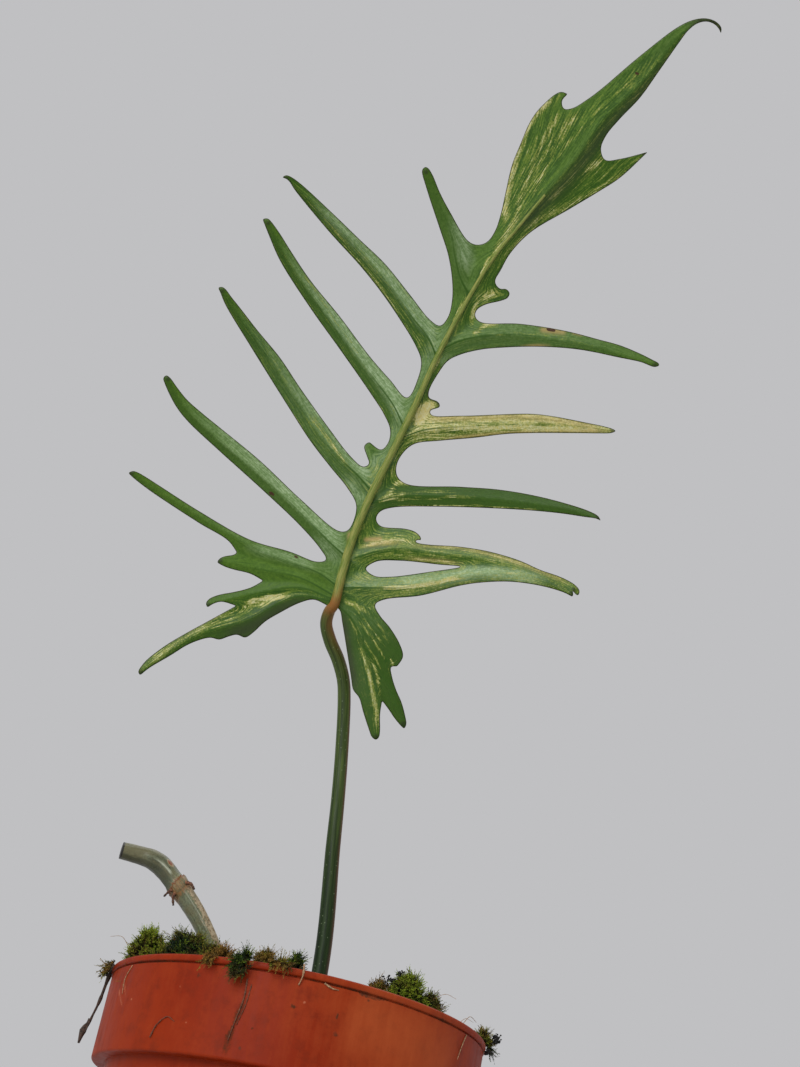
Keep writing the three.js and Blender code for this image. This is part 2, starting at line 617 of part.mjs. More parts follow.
// A level or uneven ring of points round a centre.
function circleOfPoints([cx, cy], radius, sides, heightAt) {
  const ring = [];
  for (let side = 0; side < sides; side++) {
    const angle = (2 * Math.PI * side) / sides;
    const x = cx + radius * Math.cos(angle);
    const y = cy + radius * Math.sin(angle);
    ring.push([x, y, heightAt(x, y)]);
  }
  return ring;
}

// A closed solid from rings of points that run up its side and over its top, with a point at each end.
function ringsSolid(rings, bottom, top) {
  const sides = rings[0].length;
  const positions = [...rings.flat(), bottom, top];
  const triangles = [];
  rings.forEach((_, ring) => {
    for (let side = 0; side < sides; side++) {
      const next = (side + 1) % sides;
      const low = ring * sides;
      if (ring === 0) triangles.push([positions.length - 2, next, side]);
      if (ring === rings.length - 1) {
        triangles.push([low + side, low + next, positions.length - 1]);
      } else {
        triangles.push([low + side, low + next, low + sides + next]);
        triangles.push([low + side, low + sides + next, low + sides + side]);
      }
    }
  });
  return solidOf(positions, triangles);
}

function cylinderSolid(radius, low, high) {
  const rings = [low, high].map((z) => circleOfPoints([0, 0], radius, POT_SIDES, () => z));
  return ringsSolid(rings, [0, 0, low], [0, 0, high]);
}

// A pointed cone from its foot to its tip.
function coneSolid(foot, tip, radius, sides) {
  const along = tip.clone().sub(foot).normalize();
  const across = new THREE.Vector3(1, 0, 0).addScaledVector(along, -along.x).normalize();
  const third = along.clone().cross(across);
  const ring = circleOfPoints([0, 0], radius, sides, () => 0).map(([x, y]) =>
    foot.clone().addScaledVector(across, x).addScaledVector(third, y).toArray(),
  );
  return ringsSolid([ring], foot.toArray(), tip.toArray());
}

// One hummock of moss: a dome that follows the soil below it, covered in short pointed shoots.
function hummockSolid({ at, radius, top, shoots }, random) {
  const [cx, cy] = at;
  const floorAt = (x, y) => {
    const isOutside = Math.hypot(x, y) > RIM_RADIUS - WALL / 2;
    return isOutside ? MOSS_HANG_Z : soilHeight(x, y) + MOSS_GAP;
  };
  const floor = Math.max(floorAt(cx, cy), SOIL_LEVEL);
  const domeAt = (share) => floor + (top - floor) * Math.sqrt(1 - share * share);
  const ringAt = (share, heightAt) => circleOfPoints(at, radius * share, MOSS_SIDES, heightAt);
  const rings = MOSS_FOOT_SHARES.map((share) => ringAt(share, floorAt));
  for (let ring = MOSS_RINGS; ring > 0; ring--) {
    const share = ring / (MOSS_RINGS + 0.4);
    rings.push(ringAt(share, (x, y) => Math.max(domeAt(share), floorAt(x, y) + 1)));
  }
  const pieces = [ringsSolid(rings, [cx, cy, floorAt(cx, cy)], [cx, cy, top])];
  for (let shoot = 0; shoot < shoots; shoot++) {
    const angle = 2 * Math.PI * random();
    const share = SHOOT_SPREAD * Math.sqrt(random());
    const foot = new THREE.Vector3(
      cx + radius * share * Math.cos(angle),
      cy + radius * share * Math.sin(angle),
      domeAt(share) - SHOOT_ROOT,
    );
    const lean = new THREE.Vector3(Math.cos(angle) * share, Math.sin(angle) * share, 0.8 + 0.4 * random());
    const length = SHOOT_ROOT + SHOOT_LENGTH * (0.6 + 0.4 * random());
    const tip = foot.clone().addScaledVector(lean.normalize(), length);
    if (foot.z < POT_HEIGHT + MOSS_GAP && Math.hypot(tip.x, tip.y) > RIM_RADIUS - 2 * WALL) continue;
    pieces.push(coneSolid(foot, tip, SHOOT_RADIUS, SHOOT_SIDES));
  }
  return fuse(pieces);
}

// The pot's wall with the gap around it, which is kept clear of the moss that hangs over the rim.
function rimClearance() {
  const top = POT_HEIGHT + FIT_GAP;
  const around = cylinderSolid(RIM_RADIUS + FIT_GAP, COLLAR_FOOT_Z, top);
  return around.subtract(cylinderSolid(COLLAR_FOOT_RADIUS - WALL - FIT_GAP, COLLAR_FOOT_Z - WALL, top + WALL));
}

function mossMesh(name, { seed, hummocks }) {
  const random = randomFrom(seed);
  const clump = fuse(hummocks.map((hummock) => hummockSolid(hummock, random)));
  return meshOf(name, geometryOfSolid(clump.subtract(rimClearance())), FINISH.moss);
}

const plant = new THREE.Group();
plant.name = "potted_philodendron";
plant.add(meshOf("pot", potGeometry(), FINISH.pot));
plant.add(meshOf("soil", geometryOfSolid(soilSolid()), FINISH.soil));
plant.add(meshOf("leaf", geometryOfSolid(bladeSolid().add(stalkSolid())), FINISH.leaf));
plant.add(meshOf("old_stem", geometryOfSolid(oldStemSolid()), FINISH.oldStem));
for (const [name, clump] of Object.entries(MOSS_CLUMPS)) plant.add(mossMesh(name, clump));

export default plant;
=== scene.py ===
"""Looks of a potted philodendron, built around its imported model.

One deeply lobed, cream-streaked leaf stands on its petiole in a terracotta-coloured nursery pot, beside a cut
length of the old stem, with moss over the rim. Shapes are worked out in mm in the model's own frame, and each
piece is turned into metres when it is made. The camera looks up at the underside of the leaf.
"""

import logging
import math
from collections.abc import Sequence
from dataclasses import dataclass, field
from enum import Enum
from functools import partial, reduce

import bpy
import numpy as np
from mathutils import Matrix, Vector
from mathutils.geometry import delaunay_2d_cdt
from mathutils.kdtree import KDTree


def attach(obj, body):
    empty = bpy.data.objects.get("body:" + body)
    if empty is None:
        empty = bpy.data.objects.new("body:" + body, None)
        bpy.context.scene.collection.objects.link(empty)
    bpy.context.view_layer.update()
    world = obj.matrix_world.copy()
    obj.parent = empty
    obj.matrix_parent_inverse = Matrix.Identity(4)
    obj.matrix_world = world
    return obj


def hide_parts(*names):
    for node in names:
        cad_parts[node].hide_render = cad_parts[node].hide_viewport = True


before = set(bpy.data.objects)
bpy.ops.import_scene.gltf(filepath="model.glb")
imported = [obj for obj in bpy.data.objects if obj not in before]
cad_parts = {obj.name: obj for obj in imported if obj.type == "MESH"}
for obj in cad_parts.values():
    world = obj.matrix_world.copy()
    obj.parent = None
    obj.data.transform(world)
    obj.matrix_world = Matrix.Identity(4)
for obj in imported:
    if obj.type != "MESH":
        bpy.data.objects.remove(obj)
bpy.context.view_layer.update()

log = logging.getLogger("philodendron")

MM = 0.001
BODY = "root"
GOLDEN_TURN = math.radians(137.5)
CURVE_STEPS = 24
WAVE_OCTAVES = 3
WAVES_PER_OCTAVE = 5

Array = np.ndarray
Pair = tuple[float, float]
Triple = tuple[float, float, float]
Colour = tuple[float, float, float]
Node = bpy.types.Node
NodeTree = bpy.types.NodeTree
Socket = bpy.types.NodeSocket
Material = bpy.types.Material
Feed = Socket | float | Sequence[float] | None


# Curves and surfaces


def unit(vectors: Array) -> Array:
    """Vectors at length 1, along the last axis."""
    return vectors / np.maximum(np.linalg.norm(vectors, axis=-1, keepdims=True), 1e-12)


def facing(directions: Array, towards: Triple) -> Array:
    """How far directions point one way: 1 along it and -1 against it."""
    return directions @ unit(np.array(towards))


def turns(count: int) -> Array:
    """Angles at even steps round a circle, in radians."""
    return np.linspace(0, 2 * np.pi, count, endpoint=False)


def ramp(values: Array, start: float, end: float) -> Array:
    """A share that goes from 0 to 1 while the values go from start to end."""
    return np.clip((values - start) / (end - start), 0, 1)


def hill(off: Array, width: float) -> Array:
    """A share that is 1 where off is 0 and fades to both sides over a width."""
    return np.exp(-((off / width) ** 2))


def smooth_curve(knots: Sequence, step: float, closed: bool = False) -> Array:
    """Points at even steps on a centripetal Catmull-Rom curve.

    Args:
        knots: The points that the curve passes through, in any number of dimensions.
        step: The distance between two points of the result.
        closed: Whether the curve runs on from its last knot to its first.

    Returns:
        One row for each point, both ends included.
    """
    knots = np.asarray(knots, float)
    if closed:
        chain = np.vstack([knots[-1], knots, knots[:2]])
    else:
        chain = np.vstack([2 * knots[0] - knots[1], knots, 2 * knots[-1] - knots[-2]])
    share = np.linspace(0, 1, CURVE_STEPS, endpoint=False)[:, None]
    stretches = []
    for p0, p1, p2, p3 in zip(chain, chain[1:], chain[2:], chain[3:]):
        d0, d1, d2 = (math.sqrt(np.linalg.norm(b - a)) for a, b in ((p0, p1), (p1, p2), (p2, p3)))
        leave = d1 * ((p1 - p0) / d0 - (p2 - p0) / (d0 + d1) + (p2 - p1) / d1)
        arrive = d1 * ((p2 - p1) / d1 - (p3 - p1) / (d1 + d2) + (p3 - p2) / d2)
        square = 3 * (p2 - p1) - 2 * leave - arrive
        cube = 2 * (p1 - p2) + leave + arrive
        stretches.append(p1 + leave * share + square * share**2 + cube * share**3)
    stretches.append(chain[-2][None])
    dense = np.vstack(stretches)
    length = np.concatenate([[0], np.cumsum(np.linalg.norm(np.diff(dense, axis=0), axis=1))])
    places = np.linspace(0, length[-1], max(2, round(length[-1] / step)) + 1)
    return np.column_stack([np.interp(places, length, axis) for axis in dense.T])


def nearest_on(line: Array, points: Array) -> tuple[Array, Array, Array]:
    """The nearest place on a polyline for each of many points in a plane.

    Args:
        line: The polyline's corners, one row each.
        points: The points, one row each.

    Returns:
        How far off the line each point is, how far along it, and 1 or -1 for its left or right side.
    """
    distance = np.full(len(points), np.inf)
    along = np.zeros(len(points))
    side = np.ones(len(points))
    start = 0.0
    for a, b in zip(line, line[1:]):
        run = b - a
        length = float(np.hypot(*run))
        share = np.clip(((points - a) @ run) / length**2, 0, 1)
        off = points - (a + share[:, None] * run)
        here = np.hypot(off[:, 0], off[:, 1])
        closer = here < distance
        distance[closer] = here[closer]
        along[closer] = start + share[closer] * length
        side[closer] = np.where(run[0] * off[closer, 1] > run[1] * off[closer, 0], 1.0, -1.0)
        start += length
    return distance, along, side


def line_length(line: Array) -> float:
    """The length of a polyline."""
    return float(np.linalg.norm(np.diff(line, axis=0), axis=1).sum())


def is_inside(points: Array, ring: Array) -> Array:
    """Whether each point of a plane lies inside a closed ring.

    Args:
        points: The points, one row each.
        ring: The ring's corners, one row each.

    Returns:
        A truth value for each point.
    """
    inside = np.zeros(len(points), bool)
    x, y = points.T
    for (x1, y1), (x2, y2) in zip(ring, np.roll(ring, -1, axis=0)):
        if y1 != y2:
            inside ^= ((y1 > y) != (y2 > y)) & (x < x1 + (y - y1) * (x2 - x1) / (y2 - y1))
    return inside


def gaps_to(places: Array, points: Array) -> Array:
    """How far points of a plane lie from the nearest of some places.

    Args:
        places: The places, one row each.
        points: The points, one row each.

    Returns:
        A distance for each point.
    """
    tree = KDTree(len(places))
    for i, (x, y) in enumerate(places):
        tree.insert((x, y, 0), i)
    tree.balance()
    return np.array([tree.find((x, y, 0))[2] for x, y in points])


@dataclass
class Surface:
    """Points in mm with their faces, and named numbers at the points that the finish reads."""

    points: Array
    faces: list
    marks: dict[str, Array] = field(default_factory=dict)

    @staticmethod
    def joined(parts: Sequence["Surface"]) -> "Surface":
        """Joins surfaces, where a mark that one of them lacks is 0 there.

        Args:
            parts: The surfaces.

        Returns:
            One surface.
        """
        start = 0
        faces: list = []
        for part in parts:
            faces += [[start + corner for corner in corners] for corners in part.faces]
            start += len(part.points)
        marks = {
            name: np.concatenate([part.marks.get(name, np.zeros(len(part.points))) for part in parts])
            for name in sorted({name for part in parts for name in part.marks})
        }
        return Surface(np.vstack([part.points for part in parts]), faces, marks)

    def marked(self, **values: Array | float) -> "Surface":
        """Adds marks to this surface.

        Args:
            values: The marks by name, each an array or one number for all points.

        Returns:
            This surface.
        """
        for name, value in values.items():
            self.marks[name] = np.broadcast_to(np.asarray(value, float), len(self.points)).copy()
        return self

    def piece(
        self, name: str, material: Material, slot: str, nodes: Sequence[str] = (), crease_deg: float = 0.0
    ) -> None:
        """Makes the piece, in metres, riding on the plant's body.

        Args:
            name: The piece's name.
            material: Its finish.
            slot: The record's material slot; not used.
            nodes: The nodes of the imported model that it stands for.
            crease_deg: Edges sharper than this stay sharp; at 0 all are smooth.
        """
        mesh = bpy.data.meshes.new(name)
        mesh.from_pydata((self.points * MM).tolist(), [], self.faces)
        mesh.polygons.foreach_set("use_smooth", [True] * len(mesh.polygons))
        for mark, values in self.marks.items():
            attribute = mesh.attributes.new(mark, "FLOAT", "POINT")
            attribute.data.foreach_set("value", values.astype(np.float32))
        if crease_deg:
            mesh.set_sharp_from_angle(angle=math.radians(crease_deg))
        mesh.materials.append(material)
        mesh.update()
        piece = bpy.data.objects.new(name, mesh)
        bpy.context.scene.collection.objects.link(piece)
        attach(piece, BODY)
        if nodes:
            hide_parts(*nodes)
        log.info("%s: %d points, %d faces", name, len(mesh.vertices), len(mesh.polygons))


def grid_faces(rows: int, columns: int) -> list:
    """Quads between the rows of a grid of points that runs round in itself.

    Args:
        rows: How many rows of points there are.
        columns: How many points there are round each row.

    Returns:
        Four point numbers for each face.
    """
    row, column = np.mgrid[0 : rows - 1, 0:columns]
    low = (row * columns + column).ravel()
    low_next = (row * columns + (column + 1) % columns).ravel()
    return np.column_stack([low, low_next, low_next + columns, low + columns]).tolist()


def tube(centres: Array, radii: Array, sides: int) -> Surface:
    """A closed tube round a line of centres.

    Args:
        centres: The centre line in mm.
        radii: A radius for each centre, or one for each centre and side.
        sides: How many sides the tube has.

    Returns:
        The surface, with the marks along, round_x and round_y that place a point on the tube.
    """
    direction = unit(np.gradient(centres, axis=0))
    across = np.empty_like(centres)
    last = np.array([1.0, 0.0, 0.0])
    for i, ahead in enumerate(direction):
        last = unit(last - ahead * (last @ ahead))
        across[i] = last
    third = np.cross(direction, across)
    turn = turns(sides)
    spokes = across[:, None] * np.cos(turn)[:, None] + third[:, None] * np.sin(turn)[:, None]
    radii = np.broadcast_to(np.asarray(radii, float).reshape(len(centres), -1), (len(centres), sides))
    points = (centres[:, None] + spokes * radii[..., None]).reshape(-1, 3)
    length = np.concatenate([[0], np.cumsum(np.linalg.norm(np.diff(centres, axis=0), axis=1))])
    faces = grid_faces(len(centres), sides)
    ends = len(points)
    last_row = ends - sides
    for side in range(sides):
        after = (side + 1) % sides
        faces.append([ends, after, side])
        faces.append([ends + 1, last_row + side, last_row + after])
    points = np.vstack([points, centres[0], centres[-1]])
    along = np.concatenate([np.repeat(length, sides), [0, length[-1]]])
    round_x = np.concatenate([(radii * np.cos(turn)).ravel(), [0, 0]])
    round_y = np.concatenate([(radii * np.sin(turn)).ravel(), [0, 0]])
    return Surface(points, faces).marked(along=along, round_x=round_x, round_y=round_y)


def waves(points: Array, size: float, seed: int) -> Array:
    """Gentle random relief between about -1 and 1, from sine waves in random directions.

    Args:
        points: Where it is read, in mm.
        size: The length of the longest waves, in mm.
        seed: The seed of the draw.

    Returns:
        A value for each point.
    """
    random = np.random.default_rng(seed)
    total = np.zeros(len(points))
    for octave in range(WAVE_OCTAVES):
        for _ in range(WAVES_PER_OCTAVE):
            direction = unit(random.normal(size=points.shape[1])) * 2 * np.pi * 2**octave / size
            total += np.sin(points @ direction + random.uniform(0, 2 * np.pi)) / 2 ** (octave + 1)
    return total / 1.6


# Node trees

# Between these values a noise has nearly all of its spread, or the steeper middle of it.
EVEN: Pair = (0.3, 0.7)
MIDDLE: Pair = (0.35, 0.65)


def srgb(red: float, green: float, blue: float) -> tuple[float, float, float, float]:
    """A colour as the linear values that a node holds.

    Args:
        red: Its red on a screen, 0 to 255.
        green: Its green on a screen.
        blue: Its blue on a screen.

    Returns:
        Red, green, blue and a full alpha, 0 to 1.
    """

    def linear(value: float) -> float:
        """One channel, from screen value to light."""
        share = value / 255
        return share / 12.92 if share <= 0.04045 else ((share + 0.055) / 1.055) ** 2.4

    return linear(red), linear(green), linear(blue), 1.0


class Bench:
    """A node tree under work: it adds nodes and joins them up."""

    def __init__(self, tree: NodeTree) -> None:
        """Takes the tree that the nodes go into."""
        self.tree = tree

    def feed(self, socket: Socket, value: Feed) -> None:
        """Links a socket to another, or sets the value that it holds.

        Args:
            socket: The input that is fed.
            value: An output, a value, or None to leave the input as it is.
        """
        if isinstance(value, Socket):
            self.tree.links.new(value, socket)
        elif value is not None:
            socket.default_value = value

    def fill(self, node: Node, **feeds: Feed) -> None:
        """Feeds a node's inputs by name, where _ stands for a space."""
        for name, value in feeds.items():
            self.feed(node.inputs[name.replace("_", " ")], value)

    def add(self, kind: str, feeds: dict | None = None, **settings: object) -> Node:
        """Adds a shader node.

        Args:
            kind: Its type without the leading ShaderNode.
            feeds: What goes into its inputs, by name or number.
            settings: Its other properties.

        Returns:
            The node.
        """
        node = self.tree.nodes.new("ShaderNode" + kind)
        for name, value in settings.items():
            setattr(node, name, value)
        for name, value in (feeds or {}).items():
            self.feed(node.inputs[name], value)
        return node

    def math(self, operation: str, a: Feed, b: Feed = 0.0, clamp: bool = False) -> Socket:
        """The result of a sum on one or two values."""
        return self.add("Math", {0: a, 1: b}, operation=operation, use_clamp=clamp).outputs[0]

    def sum(self, *values: Feed) -> Socket:
        """All values added up."""
        return reduce(partial(self.math, "ADD"), values)

    def times(self, a: Feed, b: Feed) -> Socket:
        """The product of two values."""
        return self.math("MULTIPLY", a, b)

    def weighted(self, *parts: tuple[Feed, float]) -> Socket:
        """The sum of some values, each times its weight."""
        return self.sum(*(self.times(value, weight) for value, weight in parts))

    def swing(self, noise: Feed, gain: float) -> Socket:
        """A noise as a push up or down, which is 0 at the noise's middle value."""
        return self.times(self.math("SUBTRACT", noise, 0.5), gain)

    def mix(self, share: Feed, first: Feed, second: Feed) -> Socket:
        """The first colour turned into the second by a share."""
        feeds = {0: share, 6: first, 7: second}
        return self.add("Mix", feeds, data_type="RGBA", clamp_factor=True).outputs[2]

    def tint(self, share: Feed, base: Feed, colour: Colour) -> Socket:
        """A colour turned into a screen colour by a share."""
        return self.mix(share, base, srgb(*colour))

    def blend(self, share: Feed, first: Colour, second: Colour) -> Socket:
        """One screen colour turned into another by a share."""
        return self.mix(share, srgb(*first), srgb(*second))

    def rise(self, value: Feed, low: float, high: float, start: float = 0.0, end: float = 1.0) -> Socket:
        """A smooth step from start to end while a value goes from low to high."""
        feeds = {"Value": value, "From Min": low, "From Max": high, "To Min": start, "To Max": end}
        return self.add("MapRange", feeds, interpolation_type="SMOOTHSTEP").outputs["Result"]

    def noise(self, vector: Feed, scale: Feed, detail: float = 3.0, roughness: float = 0.55) -> Socket:
        """A noise value between 0 and 1, mostly near 0.5."""
        feeds = {"Vector": vector, "Scale": scale, "Detail": detail, "Roughness": roughness}
        return self.add("TexNoise", feeds).outputs["Fac"]

    def mark(self, name: str) -> Socket:
        """A named number of the mesh."""
        return self.add("Attribute", attribute_name=name, attribute_type="GEOMETRY").outputs["Fac"]

    def vector(self, x: Feed, y: Feed, z: Feed) -> Socket:
        """A vector of three values."""
        return self.add("CombineXYZ", {0: x, 1: y, 2: z}).outputs[0]

    def place(self) -> Socket:
        """The point's place in the object's own frame, in metres."""
        return self.add("TexCoord").outputs["Object"]

    def bump(self, height: Feed, strength: float, distance: float, normal: Feed = None) -> Socket:
        """A normal that a height bends, over a depth in metres."""
        feeds = {"Height": height, "Strength": strength, "Distance": distance, "Normal": normal}
        return self.add("Bump", feeds).outputs["Normal"]

    def group(self, tree: NodeTree, **feeds: Feed) -> Node:
        """Adds a node group.

        Args:
            tree: The group.
            feeds: What goes into its inputs, by name, where _ stands for a space.

        Returns:
            The group's node.
        """
        node = self.add("Group", node_tree=tree)
        self.fill(node, **feeds)
        return node

    def mask(self, tree: NodeTree, **feeds: Feed) -> Socket:
        """The mask of a node group that reads the point's place."""
        return self.group(tree, Place=self.place(), **feeds).outputs["Mask"]


def new_group(
    name: str, inputs: dict[str, float], outputs: Sequence[str], vectors: Sequence[str] = ()
) -> tuple[NodeTree, Bench, dict, dict]:
    """An empty node group.

    Args:
        name: Its name.
        inputs: The number inputs with their usual values.
        outputs: The number outputs.
        vectors: The vector inputs.

    Returns:
        The group, a bench on it, its inner input sockets by name, and its inner output sockets by name.
    """
    tree = bpy.data.node_groups.new(name, "ShaderNodeTree")
    for title in vectors:
        tree.interface.new_socket(title, in_out="INPUT", socket_type="NodeSocketVector")
    for title, value in inputs.items():
        socket = tree.interface.new_socket(title, in_out="INPUT", socket_type="NodeSocketFloat")
        socket.default_value = value
    for title in outputs:
        tree.interface.new_socket(title, in_out="OUTPUT", socket_type="NodeSocketFloat")
    start = tree.nodes.new("NodeGroupInput")
    end = tree.nodes.new("NodeGroupOutput")
    given = {socket.name: socket for socket in start.outputs if socket.name}
    wanted = {socket.name: socket for socket in end.inputs if socket.name}
    return tree, Bench(tree), given, wanted


class Effects:
    """The effects that several finishes share, each a node group built once."""

    def __init__(self) -> None:
        """Builds the groups."""
        self.streaks = self.build_streaks()
        self.flecks = self.build_flecks()
        self.grime_and_shade = self.build_grime()

    @staticmethod
    def build_streaks() -> NodeTree:
        """Long streaks of plant tissue, in mm along and across them: broad ones and fine ones.

        Returns:
            The group.
        """
        tree, bench, given, wanted = new_group(
            "tissue_streaks",
            {"Along": 0.0, "Across": 0.0, "Seed": 0.0, "Broad Width": 1.0, "Fine Width": 0.3},
            ("Broad", "Fine"),
        )
        for title, stretch in (("Broad", 22.0), ("Fine", 15.0)):
            width = given[title + " Width"]
            across = bench.math("DIVIDE", given["Across"], width)
            along = bench.math("DIVIDE", given["Along"], bench.times(width, stretch))
            spot = bench.vector(along, across, bench.times(given["Seed"], 3.71))
            bench.feed(wanted[title], bench.noise(spot, 1.0, 2.0, 0.65))
        return tree

    @staticmethod
    def build_flecks() -> NodeTree:
        """Scattered small spots of uneven size on any surface, in the object's own frame.

        Returns:
            The group.
        """
        tree, bench, given, wanted = new_group(
            "small_flecks", {"Spacing": 3.0, "Size": 0.2, "Share": 0.5}, ("Mask",), ("Place",)
        )
        scale = bench.math("DIVIDE", 1 / MM, given["Spacing"])
        warp = bench.noise(given["Place"], bench.times(scale, 2.3), 2.0)
        spots = bench.add("TexVoronoi", {"Vector": given["Place"], "Scale": scale}, feature="F1")
        reach = bench.sum(spots.outputs["Distance"], bench.swing(warp, 0.25))
        spot = bench.rise(bench.math("SUBTRACT", given["Size"], reach), -0.02, 0.05)
        draw = bench.add("SeparateXYZ", {0: spots.outputs["Position"]}).outputs[0]
        chance = bench.math("FRACT", bench.times(draw, 917.3))
        kept = bench.math("LESS_THAN", chance, given["Share"])
        bench.feed(wanted["Mask"], bench.times(spot, kept))
        return tree

    @staticmethod
    def build_grime() -> NodeTree:
        """Dried soil and dust: soft patches with fine grain in them.

        Returns:
            The group.
        """
        tree, bench, given, wanted = new_group(
            "soil_grime", {"Amount": 0.5, "Patch": 14.0, "Grain": 0.7}, ("Mask",), ("Place",)
        )
        patches = bench.noise(given["Place"], bench.math("DIVIDE", 1 / MM, given["Patch"]), 4.0, 0.6)
        grain = bench.noise(given["Place"], bench.math("DIVIDE", 1 / MM, given["Grain"]), 3.0, 0.7)
        cover = bench.sum(given["Amount"], bench.swing(patches, 1.6), -0.35)
        broken = bench.sum(cover, bench.swing(grain, 0.9))
        bench.feed(wanted["Mask"], bench.rise(broken, 0.0, 0.5))
        return tree


def new_skin(name: str) -> tuple[Material, Bench, Node]:
    """Starts a finish.

    Args:
        name: The material's name.

    Returns:
        The material, a bench on its tree, and its Principled shader.
    """
    material = bpy.data.materials.new(name)
    material.use_nodes = True
    shader = material.node_tree.nodes["Principled BSDF"]
    return material, Bench(material.node_tree), shader


# Marks painted on a surface


class Tone(Enum):
    """What a brush stroke puts on a surface."""

    CREAM = "cream"
    # Painted sheen: a silvery highlight laid into the colour.
    PAINTED_SHEEN = "silver"
    DEEP = "deep"
    TAN = "tan"
    BROWN = "brown"
    SHADE = "shade"
    # A paler film on the pot: dust and painted sheen.
    DUST_AND_SHEEN = "haze"
    # Dirt; on the pot this mark also carries the painted shade under the lip.
    DIRT = "dirt"
    SCRATCH = "scratch"


STROKE_TAPER = 5.0
STROKE_STEP = 1.5


@dataclass(frozen=True)
class Stroke:
    """A soft brush stroke along a line: its tone, its half width in mm, and how strong it is."""

    tone: Tone
    width: float
    strength: float
    points: tuple[Pair, ...]

    def amount(self, points: Array, unit_mm: float) -> Array:
        """How much of its tone reaches each point.

        Args:
            points: Points in mm.
            unit_mm: The size of one unit of the stroke's own points, in mm.

        Returns:
            A value for each point, from 0 to the stroke's strength.
        """
        line = np.asarray(self.points, float) * unit_mm
        if len(line) > 2:
            line = smooth_curve(line, STROKE_STEP)
        low, high = line.min(0) - 3 * self.width, line.max(0) + 3 * self.width
        near = np.all((points > low) & (points < high), axis=1)
        amount = np.zeros(len(points))
        distance, along, _ = nearest_on(line, points[near])
        total = line_length(line)
        taper = min(STROKE_TAPER, total / 3)
        to_end = np.minimum(along, total - along) / taper
        end_share = np.clip(0.35 + 0.65 * to_end, 0, 1) if total > 2 * STROKE_TAPER else 1.0
        amount[near] = self.strength * end_share * np.exp(-((distance / self.width) ** 2))
        return amount


def painted(strokes: Sequence[Stroke], points: Array, unit_mm: float) -> dict[str, Array]:
    """Paints strokes on points.

    Args:
        strokes: The strokes.
        points: Points in mm.
        unit_mm: The size of one unit of the strokes' own points, in mm.

    Returns:
        The strongest stroke of each tone at each point, by the tone's name.
    """
    amounts: dict[str, Array] = {}
    for stroke in strokes:
        name = stroke.tone.value
        amounts[name] = np.maximum(amounts.get(name, 0.0), stroke.amount(points, unit_mm))
    return amounts


# The leaf

LEAF_UNIT = 0.381
LEAF_ORIGIN: Triple = (-19.3, -22.0, 259.2)
LEAF_LEAN_DEG = 30.0
LEAF_TURN_DEG = 12.0

# Margins of the blade in units of LEAF_UNIT, from the tip to the petiole. Each run is a smooth stretch, and
# two runs meet in a corner.
RIGHT_MARGIN = (
    # terminal lobe: the curl of its tip, its right tooth and the small tooth below
    ((388, 571), (386, 576), (381, 581), (373, 583.4), (364, 581.2), (355, 574), (346, 562), (327, 535),
     (307, 507), (287, 486), (273, 469), (268, 456), (272, 445), (287, 446), (315, 453)),
    ((315, 453), (287, 427), (267, 414), (237, 396), (197, 372), (177, 351), (168, 335), (162, 323),
     (167, 316), (173, 316), (177, 312)),
    ((177, 312), (175, 307), (168, 304), (152, 300), (144, 295), (142, 289), (147, 283), (187, 281),
     (232, 274), (267, 265), (287, 259.5), (308, 250.8), (321, 244.2), (325.6, 241.8), (326.8, 239.3)),
    # first lobe, and second lobe with the hook between them
    ((326.8, 239.3), (322, 237.6), (308, 242.6), (287, 247), (247, 255), (207, 258), (167, 257), (147, 255),
     (127, 250), (115, 244), (105, 231), (96, 214), (96, 207), (105, 203), (107, 198), (97, 194), (98, 190),
     (127, 189), (197, 191), (217, 189), (257, 181.4), (272, 178.2), (280, 175.8), (283.4, 173.8)),
    ((283.4, 173.8), (279, 171.8), (265, 171.4), (247, 171.6), (177, 171), (142, 167), (107, 164),
     (82, 161), (72, 154), (64, 141), (64, 129), (73, 121), (127, 118), (167, 115), (207, 108), (247, 97),
     (259.7, 92), (265.4, 88.6), (268, 83.5)),
    # third lobe, the hook under it, and the two lobes that are joined beyond their slit
    ((268, 83.5), (264.5, 85.7), (250, 88), (227, 91.4), (187, 95), (107, 98), (59, 97), (47, 93), (43, 86),
     (47, 79), (72, 76), (82, 73), (88, 67), (88, 64)),
    ((88, 64), (84, 65), (82, 63), (88, 61)),
    ((88, 61), (97, 60), (127, 58), (157, 53), (187, 44), (207, 35), (227, 28), (239, 22), (244.4, 17.6),
     (246.8, 13.4), (245.2, 8.8)),
    ((245.2, 8.8), (242.4, 10.6), (239.4, 14.4)),
    ((239.4, 14.4), (240.4, 11), (239.6, 7.6)),
    ((239.6, 7.6), (233.9, 10.8), (227, 13.6), (207, 19), (177, 23), (147, 22), (127, 19), (87, 9), (51, 5),
     (42, 0), (47, -11), (57, -23), (67, -40), (70, -52), (64, -62)),
    # basal lobe that hangs beside the petiole
    ((64, -62), (58, -62), (59, -72), (63, -85), (68.6, -98), (72.3, -112), (73.4, -119.6), (71.3, -124.4)),
    ((71.3, -124.4), (68, -121.4), (61.8, -114), (55, -104), (49, -96)),
    ((49, -96), (47, -110), (47, -126), (46, -132.6), (43, -135.6)),
    ((43, -135.6), (38.8, -132.6), (36.2, -126), (30, -107), (26, -93), (20, -85), (18, -73), (12, -35),
     (9, -17), (7, -6), (3, -2)),
)
